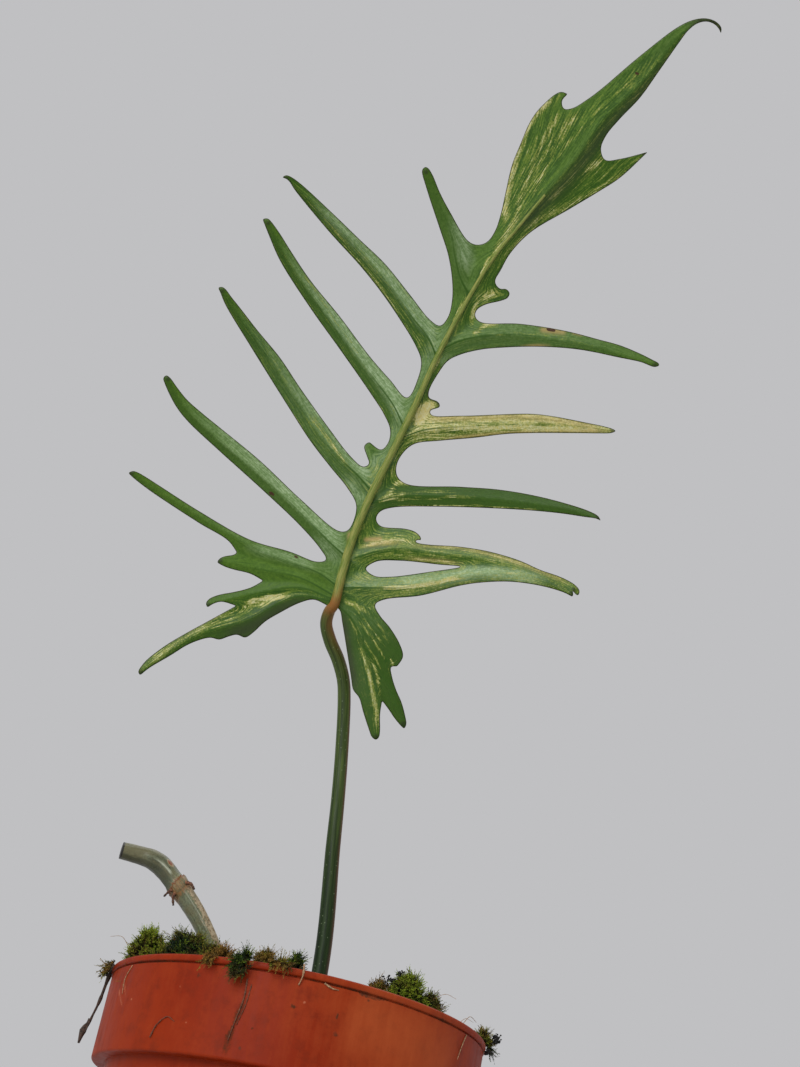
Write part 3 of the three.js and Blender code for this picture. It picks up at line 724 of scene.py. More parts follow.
LEFT_MARGIN = (
    # terminal lobe with its hook, and the first lobe
    ((388, 571), (388.6, 577), (383, 583.4), (373, 586.6), (360, 585), (345, 578), (307, 549), (267, 515),
     (252, 504), (240, 497), (231, 496), (229, 504), (235, 511)),
    ((235, 511), (227, 513), (207, 497), (197, 483), (187, 460), (179, 440), (172, 410), (168, 392),
     (162, 374), (154, 363), (144, 360), (135, 364), (117, 393), (107, 412), (99.5, 430), (95.2, 436.8),
     (92.2, 438.4)),
    # the four long lobes, with the hook above the last but one
    ((92.2, 438.4), (89, 435.2), (89.4, 430), (92, 421), (97, 405), (107, 375), (115, 350), (119, 325),
     (119, 305), (115, 288), (107, 279), (97, 285), (77, 310), (52, 341), (27, 365), (-3, 394),
     (-33, 421.6), (-42.4, 428.2), (-47.4, 429.8), (-51.2, 427.2)),
    ((-51.2, 427.2), (-47.2, 426.2), (-43.6, 423.2), (-39.5, 416.6), (-33, 408), (-3, 372), (27, 339),
     (47, 314), (67, 285), (82, 260), (88, 244), (85, 227), (74, 207), (57, 225), (37, 248), (7, 288),
     (-23, 325), (-43, 355), (-53, 371), (-61.8, 383.2), (-65.4, 386.6), (-70.7, 385.9)),
    ((-70.7, 385.9), (-68.6, 380.6), (-63.6, 368), (-53, 344), (-23, 297), (7, 255), (37, 212), (51, 190),
     (57, 175), (55, 162), (48, 155), (36, 163)),
    ((36, 163), (31, 159), (34, 148), (36, 141), (30, 138), (17, 149), (-3, 175), (-33, 217), (-53, 247),
     (-76, 275), (-93, 297), (-101.8, 308), (-107.8, 316), (-111.4, 318.2), (-115.2, 317.2)),
    ((-115.2, 317.2), (-113, 312.8), (-108, 300.6), (-83, 259), (-43, 195), (-23, 164), (-3, 138),
     (14, 117), (23, 100), (20, 83), (14, 74), (5, 74), (-33, 106), (-73, 144), (-113, 177), (-129, 190),
     (-146, 205), (-156, 217.4), (-162.6, 226.6), (-166.6, 230)),
    ((-166.6, 230), (-170.1, 226.8), (-169, 222.8), (-164, 211), (-156, 196.6), (-145, 183), (-113, 153),
     (-72, 116), (-33, 79), (-13, 56), (-7, 45), (-16, 43), (-43, 53), (-83, 65), (-133, 93), (-173, 118.6),
     (-187.3, 127.8), (-195.8, 132.6), (-200.4, 133.9), (-205.1, 131.9)),
    # the lowest lobes: a long one, two teeth and the one that points down
    ((-205.1, 131.9), (-200.2, 127.2), (-187.3, 117), (-173, 107), (-133, 81), (-105, 64), (-96, 52)),
    ((-96, 52), (-100, 49.8), (-108, 48.6), (-113.6, 46.2), (-116.3, 42.2)),
    ((-116.3, 42.2), (-108, 37.9), (-99, 35), (-83, 31), (-70, 24)),
    ((-70, 24), (-83, 17), (-103, 12), (-110.4, 10.8), (-120.4, 7.8), (-125.4, 4.6), (-127.4, 0.8),
     (-125.7, -3)),
    ((-125.7, -3), (-120.4, 0.6), (-112, 3), (-97, -1)),
    ((-97, -1), (-128, -18), (-148, -29), (-168, -41), (-185.6, -54.4), (-191.2, -60.6), (-195.1, -67.4),
     (-193.1, -70.8)),
    ((-193.1, -70.8), (-184.2, -63.6), (-163, -51), (-143, -39), (-123, -33), (-114, -35), (-105, -32),
     (-96, -30), (-88, -33), (-80, -28), (-68, -17), (-53, -8), (-33, 2), (-19, 5), (-3, -2), (3, -2)),
)
SLIT = ((127, 38), (107, 40), (67, 44), (43, 43), (33, 36), (41, 29), (57, 28), (97, 33))


@dataclass(frozen=True)
class Vein:
    """A main vein from the midrib out, in leaf units, with how its lobe hangs and looks.

    droop says how far the lobe bends down. The pairs give an amount for the left and the right half of the
    lobe, seen from the midrib out: a painted silvery sheen, deep green that is partly painted shade on the
    half away from the sheen, and cream streaks.
    """

    droop: float
    silver: Pair
    deep: Pair
    cream: Pair
    points: tuple[Pair, ...]


MIDRIB = Vein(0.0, (0.05, 0.0), (0.1, 0.3), (0.05, 0.2), (
    (1, 0), (10, 35), (19, 65), (38, 110), (58, 150), (81, 197), (104, 248), (130, 297), (159, 345),
    (187, 380), (212, 410), (242, 445), (272, 487), (307, 520), (357, 577), (379, 583)))
# On many lobes the deep green lies on the half away from the painted sheen, where it is partly painted shade.
LOBE_VEINS = (
    Vein(0.8, (0.05, 0.12), (0.45, 0.35), (0.0, 0.0), (
        (137, 308), (128, 325), (123, 343), (117, 374), (101, 412), (93, 433))),
    Vein(1.1, (0.05, 0.75), (0.55, 0.0), (0.22, 0.12), (
        (104, 247), (95, 267), (78, 289), (58, 317), (34, 346), (-15, 397), (-47, 426))),
    Vein(0.9, (0.05, 0.85), (0.6, 0.0), (0.1, 0.05), (
        (71, 177), (60, 200), (29, 241), (-10, 295), (-28, 319), (-48, 350), (-65, 382))),
    Vein(1.2, (0.12, 0.5), (0.5, 0.12), (0.12, 0.05), (
        (39, 113), (23, 131), (0, 153), (-21, 181), (-60, 242), (-97, 293), (-111, 314))),
    Vein(1.0, (0.05, 0.7), (0.6, 0.0), (0.0, 0.0), (
        (14, 47), (-3, 62), (-38, 97), (-78, 134), (-119, 169), (-148, 198), (-165, 226))),
    Vein(1.2, (0.0, 0.15), (0.25, 0.1), (0.0, 0.0), (
        (6, 17), (-15, 32), (-43, 42), (-71, 53), (-108, 73), (-168, 110), (-201, 132))),
    Vein(1.2, (0.0, 0.0), (0.15, 0.1), (0.0, 0.0), ((1, 9), (-33, 27), (-71, 35), (-113, 44))),
    Vein(1.2, (0.0, 0.0), (0.35, 0.3), (0.1, 0.0), ((1, 5), (-33, 17), (-71, 13), (-98, 7), (-125, 0))),
    Vein(1.2, (0.0, 0.0), (0.75, 0.35), (0.02, 0.3), (
        (0, 3), (-33, 9), (-58, 0), (-83, -14), (-108, -22), (-133, -29), (-163, -46), (-192, -67))),
    Vein(1.0, (0.22, 0.1), (0.3, 0.45), (0.05, 0.08), (
        (110, 256), (127, 264), (152, 269), (187, 270), (227, 265), (267, 257), (302, 246), (322, 240))),
    Vein(1.3, (0.1, 0.0), (0.0, 0.0), (0.58, 0.47), (
        (71, 168), (92, 175), (127, 178), (167, 180), (207, 181), (247, 178), (280, 174))),
    Vein(0.9, (0.0, 0.0), (0.85, 0.85), (0.06, 0.06), (
        (39, 102), (62, 108), (87, 109), (127, 108), (167, 105), (207, 100), (242, 94), (265, 86))),
    Vein(1.1, (0.2, 0.0), (0.0, 0.3), (0.35, 0.3), (
        (22, 47), (47, 54), (67, 56), (107, 51), (137, 48), (172, 41), (207, 30), (241, 15))),
    Vein(1.1, (0.5, 0.1), (0.0, 0.25), (0.3, 0.32), (
        (10, 17), (42, 17), (67, 17), (97, 22), (127, 28), (167, 32), (207, 26), (238, 11))),
    Vein(1.5, (0.1, 0.05), (0.7, 0.9), (0.1, 0.1), (
        (5, -1), (19, -15), (29, -40), (36, -70), (40, -100), (43, -132))),
    Vein(1.5, (0.0, 0.0), (0.95, 0.85), (0.08, 0.06), ((29, -40), (45, -63), (57, -85), (70, -119))),
)

# Streaks and blemishes of this leaf, with strokes of painted sheen and painted shade, in leaf units.
LEAF_STROKES = (
    # terminal lobe
    Stroke(Tone.CREAM, 2.0, 0.72, ((172, 378), (173, 405), (180, 437), (189, 468), (203, 493), (222, 508))),
    Stroke(Tone.CREAM, 1.4, 0.55, ((180, 385), (191, 415), (202, 445), (214, 470), (226, 492))),
    Stroke(Tone.CREAM, 1.8, 0.42, ((205, 432), (220, 458), (235, 482), (252, 494))),
    Stroke(Tone.CREAM, 1.3, 0.32, ((227, 455), (257, 482), (287, 512), (318, 542))),
    Stroke(Tone.CREAM, 3.2, 0.38, ((186, 398), (200, 430), (217, 458), (240, 480))),
    Stroke(Tone.SHADE, 1.6, 1.25, ((388, 572), (387, 577), (380, 583), (368, 584), (356, 579))),
    Stroke(Tone.CREAM, 7.0, 0.3, ((178, 385), (196, 425), (216, 462), (240, 485))),
    Stroke(Tone.CREAM, 4.0, 0.22, ((250, 480), (290, 515), (330, 552))),
    Stroke(Tone.CREAM, 1.2, 0.5, ((196, 402), (212, 436), (226, 462))),
    Stroke(Tone.CREAM, 0.9, 0.45, ((218, 436), (232, 458), (244, 474))),
    Stroke(Tone.CREAM, 1.5, 0.62, ((157, 343), (167, 360), (178, 378), (189, 396))),
    Stroke(Tone.CREAM, 2.2, 0.46, ((187, 371), (212, 388), (247, 404), (277, 421), (302, 442))),
    Stroke(Tone.CREAM, 1.3, 0.7, ((250, 430), (262, 440), (270, 449))),
    Stroke(Tone.CREAM, 1.0, 0.5, ((212, 401), (226, 413), (234, 420))),
    Stroke(Tone.CREAM, 1.2, 0.45, ((165, 340), (180, 358), (200, 377))),
    Stroke(Tone.SHADE, 2.6, 0.75, ((182, 372), (212, 402), (245, 438), (275, 478), (307, 510), (345, 552))),
    Stroke(Tone.DEEP, 3.0, 0.8, ((215, 396), (245, 425), (262, 452), (290, 488), (322, 527))),
    Stroke(Tone.DEEP, 2.0, 0.5, ((285, 508), (320, 545), (350, 572))),
    # small tooth below the terminal lobe, and the strips beside the midrib
    Stroke(Tone.CREAM, 2.6, 0.6, ((146, 300), (153, 308), (164, 312), (172, 311))),
    Stroke(Tone.CREAM, 1.2, 0.55, ((150, 318), (144, 303), (138, 284), (140, 274))),
    Stroke(Tone.CREAM, 0.9, 0.85, ((136, 312), (126, 292), (114, 268), (104, 244), (97, 228))),
    Stroke(Tone.CREAM, 0.8, 0.8, ((158, 350), (152, 338), (144, 322))),
    Stroke(Tone.CREAM, 1.1, 0.6, ((142, 272), (152, 279), (163, 281))),
    # first lobe on the right
    Stroke(Tone.CREAM, 0.6, 0.34, ((142, 268), (187, 272), (227, 267), (262, 259))),
    Stroke(Tone.TAN, 1.1, 0.8, ((210, 275), (219, 274), (230, 273))),
    Stroke(Tone.BROWN, 0.6, 0.95, ((215, 275.5), (221, 274.5))),
    Stroke(Tone.TAN, 0.6, 0.8, ((188, 258), (203, 259), (216, 259))),
    Stroke(Tone.TAN, 0.5, 0.7, ((240, 272), (248, 270))),
    # second lobe and the hook above it
    Stroke(Tone.CREAM, 3.0, 1.1, ((84, 176), (90, 192), (99, 200), (104, 201))),
    Stroke(Tone.TAN, 2.6, 0.3, ((84, 178), (90, 190), (100, 199))),
    Stroke(Tone.SHADE, 0.5, 1.25, ((95, 213), (97, 206.5), (104.5, 202.8), (106.5, 199))),
    Stroke(Tone.CREAM, 1.4, 0.85, ((84, 174), (107, 177), (147, 177), (187, 177), (227, 176), (272, 174))),
    Stroke(Tone.TAN, 1.6, 0.5, ((92, 186), (130, 187), (180, 188), (230, 184), (270, 176))),
    Stroke(Tone.TAN, 0.7, 0.6, ((112, 166), (142, 169), (177, 172), (227, 173), (277, 174))),
    Stroke(Tone.DEEP, 0.8, 1.0, ((74, 166), (92, 171), (117, 173), (142, 174), (165, 176))),
    Stroke(Tone.DEEP, 0.5, 0.9, ((80, 163), (102, 167), (125, 168))),
    Stroke(Tone.CREAM, 2.0, 0.36, ((77, 163), (66, 150), (58, 133), (56, 120))),
    # third lobe
    Stroke(Tone.CREAM, 1.2, 0.62, ((50, 106), (58, 114), (64, 122), (78, 121))),
    Stroke(Tone.CREAM, 0.9, 0.75, ((46, 104), (58, 107), (70, 110))),
    Stroke(Tone.CREAM, 0.7, 0.45, ((70, 111), (97, 113), (125, 112))),
    Stroke(Tone.CREAM, 0.5, 0.5, ((52, 101), (80, 106), (110, 105))),
    Stroke(Tone.CREAM, 0.6, 0.45, ((97, 105), (122, 108), (145, 107))),
    Stroke(Tone.CREAM, 0.5, 0.6, ((62, 98), (97, 99), (147, 98), (207, 95))),
    Stroke(Tone.DEEP, 2.4, 0.8, ((150, 107), (187, 103), (222, 97), (260, 87))),
    # fourth lobe with its hook
    Stroke(Tone.CREAM, 2.0, 0.36, ((36, 74), (57, 73), (77, 69))),
    Stroke(Tone.CREAM, 1.4, 0.6, ((24, 57), (47, 63), (67, 64), (87, 61))),
    Stroke(Tone.TAN, 1.0, 0.5, ((30, 58), (47, 61), (67, 62))),
    Stroke(Tone.TAN, 0.8, 0.9, ((33, 65), (47, 66))),
    Stroke(Tone.CREAM, 1.3, 0.5, ((92, 60), (127, 57), (167, 48), (207, 34), (235, 22))),
    Stroke(Tone.TAN, 1.0, 0.35, ((80, 59), (127, 57), (167, 48), (207, 34), (235, 22))),
    Stroke(Tone.DEEP, 0.9, 0.9, ((134, 42), (160, 37), (187, 32), (215, 23), (238, 13))),
    Stroke(Tone.CREAM, 1.2, 0.5, ((72, 46), (107, 44), (134, 40))),
    Stroke(Tone.TAN, 0.9, 0.35, ((72, 46), (107, 44), (128, 41))),
    Stroke(Tone.DEEP, 1.0, 0.25, ((45, 52), (80, 53), (120, 49))),
    # fifth lobe
    Stroke(Tone.CREAM, 2.4, 0.5, ((12, 22), (27, 27), (40, 24), (47, 18))),
    Stroke(Tone.CREAM, 1.1, 0.9, ((42, 17), (77, 18), (107, 23), (134, 28))),
    Stroke(Tone.DEEP, 1.6, 0.9, ((87, 12), (127, 21), (167, 24.5), (207, 19), (238, 10))),
    Stroke(Tone.CREAM, 1.6, 0.4, ((20, 10), (62, 10), (92, 13))),
    Stroke(Tone.CREAM, 3.0, 0.3, ((50, 150), (42, 132), (40, 112), (46, 102))),
    # Painted sheen along the fifth lobe.
    Stroke(Tone.PAINTED_SHEEN, 2.4, 1.1, ((60, 24), (104, 26), (142, 32), (172, 31), (207, 24))),
    # basal lobe on the right
    Stroke(Tone.CREAM, 1.6, 0.5, ((9, 4), (22, -1), (36, -8), (44, -13))),
    Stroke(
        Tone.CREAM, 1.25, 0.62, ((26, -40), (32, -56), (37.5, -76), (41.5, -99), (44, -118), (43.5, -128))
    ),
    Stroke(Tone.CREAM, 0.9, 0.58, ((33, -44), (40.5, -60), (45.5, -76), (46.5, -90))),
    Stroke(Tone.CREAM, 0.4, 0.7, ((57, -54), (60, -61))),
    Stroke(Tone.CREAM, 0.8, 0.4, ((12, -8), (18, -18), (25, -36), (29, -50))),
    Stroke(Tone.CREAM, 0.5, 0.6, ((20, -8), (32, -24), (44, -41), (54, -58))),
    Stroke(Tone.CREAM, 0.5, 0.6, ((21, -5), (30, -14), (41, -28), (52, -42))),
    Stroke(Tone.CREAM, 0.4, 0.36, ((38, -10), (44, -20), (51, -31), (60, -44))),
    Stroke(Tone.CREAM, 0.45, 0.56, ((17, -13), (27, -30), (40, -50), (50, -68))),
    Stroke(Tone.SHADE, 1.9, 1.1, ((9, -9), (12, -29), (17, -58), (22, -86))),
    # lobes on the left
    Stroke(Tone.CREAM, 0.7, 0.5, ((-23, 390), (7, 355), (37, 320), (62, 287))),
    Stroke(Tone.CREAM, 0.7, 0.42, ((-10, 388), (20, 352), (50, 314), (88, 262))),
    Stroke(Tone.CREAM, 0.6, 0.38, ((-33, 335), (-8, 300), (12, 270), (29, 245))),
    Stroke(Tone.CREAM, 1.1, 0.42, ((-27, 197), (-8, 170), (9, 146), (20, 131))),
    Stroke(Tone.CREAM, 0.45, 0.9, ((-4, 165), (5, 152), (14, 139))),
    Stroke(Tone.CREAM, 0.6, 0.35, ((-93, 297), (-63, 250), (-33, 205))),
    Stroke(Tone.CREAM, 2.2, 0.5, ((-188, -62), (-158, -38), (-123, -19), (-88, -3), (-58, 4))),
    Stroke(Tone.CREAM, 1.7, 0.75, ((-92, 0), (-68, 6), (-42, 9))),
    Stroke(Tone.SHADE, 3.2, 1.0, ((-110, -33), (-80, -22), (-52, -6), (-25, 3))),
    # Painted sheen on the lobes on the left and beside the midrib.
    Stroke(Tone.PAINTED_SHEEN, 3.2, 0.6, ((122, 388), (130, 362), (134, 335))),
    Stroke(
        Tone.PAINTED_SHEEN,
        3.0,
        0.35,
        ((120, 283), (104, 262), (88, 232), (76, 205), (60, 172), (46, 142), (30, 108)),
    ),
    Stroke(Tone.PAINTED_SHEEN, 2.4, 0.7, ((-13, 400), (27, 360), (67, 315), (97, 272))),
    Stroke(Tone.PAINTED_SHEEN, 2.2, 0.85, ((-28, 335), (7, 285), (42, 235), (66, 192), (72, 175))),
    Stroke(Tone.PAINTED_SHEEN, 2.4, 0.8, ((-33, 214), (2, 169), (30, 134), (42, 120))),
    Stroke(Tone.PAINTED_SHEEN, 2.2, 0.8, ((-118, 182), (-73, 142), (-33, 103), (2, 72))),
    Stroke(Tone.PAINTED_SHEEN, 3.0, 0.5, ((42, 142), (52, 147))),
    Stroke(Tone.PAINTED_SHEEN, 3.4, 0.55, ((12, 128), (24, 110), (32, 98))),
    Stroke(Tone.PAINTED_SHEEN, 3.0, 0.4, ((-18, 68), (-4, 54), (8, 40))),
    Stroke(Tone.PAINTED_SHEEN, 2.0, 0.5, ((-83, 58), (-48, 49), (-18, 38))),
    Stroke(Tone.TAN, 0.9, 1.0, ((17, 70), (17, 64), (18, 60))),
    # specks
    Stroke(Tone.BROWN, 0.5, 0.8, ((303, 532), (305, 531))),
    Stroke(Tone.BROWN, 0.6, 0.8, ((-63, 112), (-60, 110))),
    Stroke(Tone.BROWN, 0.45, 0.8, ((-38, 49), (-36, 47))),
)


@dataclass
class VeinReading:
    """What the veins say about many points of the blade: one value for each point, lengths in mm."""

    distance: Array
    along: Array
    out: Array
    vein: Array
    lift: Array
    silver: Array
    deep: Array
    cream: Array


@dataclass(frozen=True)
class LeafDrawing:
    """The leaf's drawing and its place in the pot's frame. Sizes in mm."""

    reach: float = 223.0
    tip_arch: float = 24.0
    back_arch: float = 12.0
    droop: float = 0.0014
    fold_depth: float = 2.4
    fold_width: float = 8.0
    crease_width: float = 0.35
    blending: float = 1.2
    rounding: int = 2
    vein_step: float = 3.0
    bend_centre: Triple = (25.0, 27.0, 533.0)

    def outline(self, step: float) -> Array:
        """The blade's margin as one closed ring.

        Args:
            step: The distance between its points.

        Returns:
            One row for each point.
        """
        sides = []
        for runs in (RIGHT_MARGIN, LEFT_MARGIN):
            curves = [smooth_curve(np.array(run) * LEAF_UNIT, step)[:-1] for run in runs]
            sides.append(np.vstack(curves))
        meeting = np.array([RIGHT_MARGIN[-1][-1]]) * LEAF_UNIT
        ring = np.vstack([sides[0], meeting, sides[1][:0:-1]])
        for _ in range(self.rounding):
            ring = (np.roll(ring, 1, axis=0) + 2 * ring + np.roll(ring, -1, axis=0)) / 4
        return ring

    def slit(self, step: float) -> Array:
        """The slit between two joined lobes, as a closed ring."""
        return smooth_curve(np.array(SLIT) * LEAF_UNIT, step, closed=True)[:-1]

    def veins(self, step: float) -> list[Array]:
        """The midrib and the main veins as lines."""
        return [smooth_curve(np.array(vein.points) * LEAF_UNIT, step) for vein in (MIDRIB, *LOBE_VEINS)]

    def tips(self) -> Array:
        """The far ends of all lobes."""
        return np.array([vein.points[-1] for vein in (MIDRIB, *LOBE_VEINS)]) * LEAF_UNIT

    def read(self, points: Array) -> VeinReading:
        """Reads the nearest vein for each point, with neighbouring lobes blended into each other.

        Args:
            points: Points of the drawing in mm.

        Returns:
            The reading.
        """
        veins = (MIDRIB, *LOBE_VEINS)
        lines = self.veins(self.vein_step)
        table = [nearest_on(line, points) for line in lines]
        distances, alongs, sides = (np.array([row[i] for row in table]) for i in range(3))
        nearest = distances.argmin(0)
        everyone = np.arange(len(points))
        distance = distances[nearest, everyone]
        weights = np.exp(-(distances - distance) / self.blending)
        weights /= weights.sum(0)
        starts = np.array([nearest_on(lines[0], line[:1])[1][0] for line in lines])[:, None]
        starts[0] = 0.0
        droops = np.array([vein.droop for vein in veins])[:, None]
        left_share = 0.5 + 0.5 * sides * np.tanh(distances / self.crease_width)

        def halves(name: str) -> Array:
            """A pair of the veins, read on the point's own side and blended."""
            pairs = np.array([getattr(vein, name) for vein in veins])
            return (weights * (pairs[:, :1] * left_share + pairs[:, 1:] * (1 - left_share))).sum(0)

        return VeinReading(
            distance=distance,
            along=(alongs + starts)[nearest, everyone],
            out=alongs[nearest, everyone],
            vein=nearest.astype(float),
            lift=(weights * (self.droop * droops * alongs**2)).sum(0),
            silver=halves("silver"),
            deep=halves("deep"),
            cream=halves("cream"),
        )

    def relief(self, points: Array, reading: VeinReading) -> Array:
        """How far the blade bends out of its plane.

        Args:
            points: Points of the drawing in mm.
            reading: What the veins say about them.

        Returns:
            A height for each point in mm, towards the blade's underside.
        """
        reach = points[:, 1] / self.reach
        back = np.where(reach > 0, 4 * reach * (1 - reach), 4 * reach / (1 - 8 * np.minimum(reach, 0)))
        arch = self.tip_arch * np.maximum(reach, 0) ** 2 - self.back_arch * back
        fold = self.fold_depth * (1 - np.exp(-reading.distance / self.fold_width))
        return arch + reading.lift - fold

    def place(self, points: Array, lift: Array) -> Array:
        """Points of the drawing in the pot's frame.

        Args:
            points: The points in mm.
            lift: How far each is lifted towards bend_centre, in mm.

        Returns:
            One row for each point.
        """
        flat = np.column_stack([points, np.zeros(len(points))])
        lifted = flat + unit(np.array(self.bend_centre) - flat) * np.asarray(lift)[:, None]
        lean = Matrix.Rotation(math.radians(90 + LEAF_LEAN_DEG), 3, "X")
        turn = Matrix.Rotation(math.radians(LEAF_TURN_DEG), 3, "Z")
        return lifted @ np.array(lean @ turn).T + np.array(LEAF_ORIGIN)


@dataclass(frozen=True)
class BladeSkin:
    """Finish of the blade: greens, a painted silvery sheen strongest on the underside, cream and tan streaks,
    painted shade, dark veins partly in painted shade, and margins.
    """

    effects: Effects
    dark_green: Colour = (44, 80, 6)
    mid_green: Colour = (92, 126, 34)
    deep_green: Colour = (30, 62, 4)
    lime: Colour = (132, 142, 58)
    # Colours of the painted sheen.
    silver: Colour = (134, 160, 112)
    painted_sheen_light: Colour = (178, 198, 158)
    cream: Colour = (196, 186, 112)
    pale_cream: Colour = (204, 204, 156)
    tan: Colour = (176, 146, 92)
    brown: Colour = (66, 42, 22)
    grey: Colour = (50, 60, 34)
    margin: Colour = (44, 48, 14)
    tip: Colour = (38, 48, 18)
    vein_width: Pair = (0.1, 0.5)
    margin_width: Pair = (0.1, 0.5)
    tip_length: Pair = (0.3, 1.6)
    fine_streak: float = 0.38
    streak_gain: float = 3.1
    waviness: float = 1.4
    roughness: Pair = (0.36, 0.54)
    gloss: float = 0.22

    def greens(self, bench: Bench, fine: Socket, speckle: Socket, tissue: Socket) -> Socket:
        """The green under the streaks, with its deep stretches and its painted silvery sheen.

        Args:
            bench: The bench on the material's nodes.
            fine: Fine streaks along the veins.
            speckle: Fine grain.
            tissue: Streaks and grain together.

        Returns:
            The colour.
        """
        plain = bench.rise(bench.weighted((tissue, 0.7), (speckle, 0.3)), *EVEN)
        calm = bench.blend(plain, self.dark_green, self.mid_green)
        lively = bench.blend(bench.rise(tissue, 0.42, 0.6), self.dark_green, self.mid_green)
        green = bench.mix(bench.rise(bench.mark("cream"), 0.02, 0.14), calm, lively)
        # Deep green: the leaf's own dark tissue, and partly painted shade on the half of a lobe away from the
        # sheen.
        deep = bench.times(bench.mark("deep"), bench.rise(tissue, 0.4, 0.6, 0.3, 1.0))
        green = bench.tint(deep, green, self.deep_green)
        # Painted sheen: a patchy silvery highlight, stronger on the underside.
        patchy = bench.rise(bench.weighted((fine, 0.5), (speckle, 0.5)), 0.34, 0.6, 0.55, 1.0)
        sheen = bench.times(bench.mark("silver"), patchy)
        sheen = bench.times(sheen, bench.rise(bench.mark("under"), *EVEN, 0.3, 1.0))
        bright = bench.rise(bench.weighted((fine, 0.55), (speckle, 0.45)), 0.44, 0.66)
        return bench.mix(sheen, green, bench.blend(bright, self.silver, self.painted_sheen_light))

    def material(self) -> Material:
        """Builds the material.

        Returns:
            The material.
        """
        material, bench, shader = new_skin("leaf_blade")
        place = bench.place()
        bend = bench.swing(bench.noise(place, 0.06 / MM, 1.0), self.waviness)
        streaks = bench.group(
            self.effects.streaks,
            Along=bench.mark("along"),
            Across=bench.sum(bench.mark("lane"), bend),
            Seed=bench.mark("half"),
            Fine_Width=self.fine_streak,
        )
        broad, fine = streaks.outputs["Broad"], streaks.outputs["Fine"]
        speckle = bench.noise(place, 0.9 / MM, 4.0, 0.7)
        mottle = bench.noise(place, 1.5 / MM, 2.0, 0.6)
        tissue = bench.weighted((broad, 0.32), (fine, 0.46), (mottle, 0.22))
        grain = bench.sum(tissue, -0.5)
        amount = bench.mark("cream")
        level = bench.sum(amount, bench.times(grain, self.streak_gain))
        present = bench.rise(amount, 0.03, 0.1)
        lime = bench.times(bench.rise(level, 0.24, 0.56), present)
        cream = bench.times(bench.rise(level, 0.5, 0.74), present)
        colour = self.greens(bench, fine, speckle, tissue)
        colour = bench.tint(bench.times(lime, 0.75), colour, self.lime)
        pale = bench.blend(bench.rise(speckle, *MIDDLE), self.cream, self.pale_cream)
        colour = bench.mix(bench.times(cream, 0.9), colour, pale)
        colour = bench.tint(bench.times(bench.mark("tan"), 0.85), colour, self.tan)
        shade = bench.math("MULTIPLY", bench.mark("shade"), 0.8, clamp=True)
        colour = bench.tint(shade, colour, self.grey)
        # Dark vein lines: the veins' own colour and painted shade in their sunken creases.
        vein = bench.rise(bench.mark("distance"), *self.vein_width, 1.0, 0.0)
        colour = bench.tint(bench.times(vein, bench.mark("crease")), colour, self.dark_green)
        to_margin = bench.sum(bench.mark("rim"), bench.swing(speckle, 0.25))
        colour = bench.tint(bench.rise(to_margin, *self.margin_width, 0.9, 0.0), colour, self.margin)
        dark_end = bench.rise(bench.mark("tip"), *self.tip_length, 0.75, 0.0)
        not_cream = bench.math("SUBTRACT", 1.0, bench.times(cream, 0.9))
        colour = bench.tint(bench.times(dark_end, not_cream), colour, self.tip)
        burnt = bench.rise(bench.sum(bench.mark("brown"), bench.times(grain, 0.8)), 0.25, 0.5)
        ribs = bench.bump(bench.sum(fine, bench.times(broad, 0.6)), 0.35, 0.12 * MM)
        bench.fill(
            shader,
            Base_Color=bench.tint(burnt, colour, self.brown),
            Roughness=bench.rise(fine, *EVEN, *self.roughness),
            Normal=bench.bump(speckle, 0.25, 0.05 * MM, ribs),
            Specular_IOR_Level=self.gloss,
        )
        return material


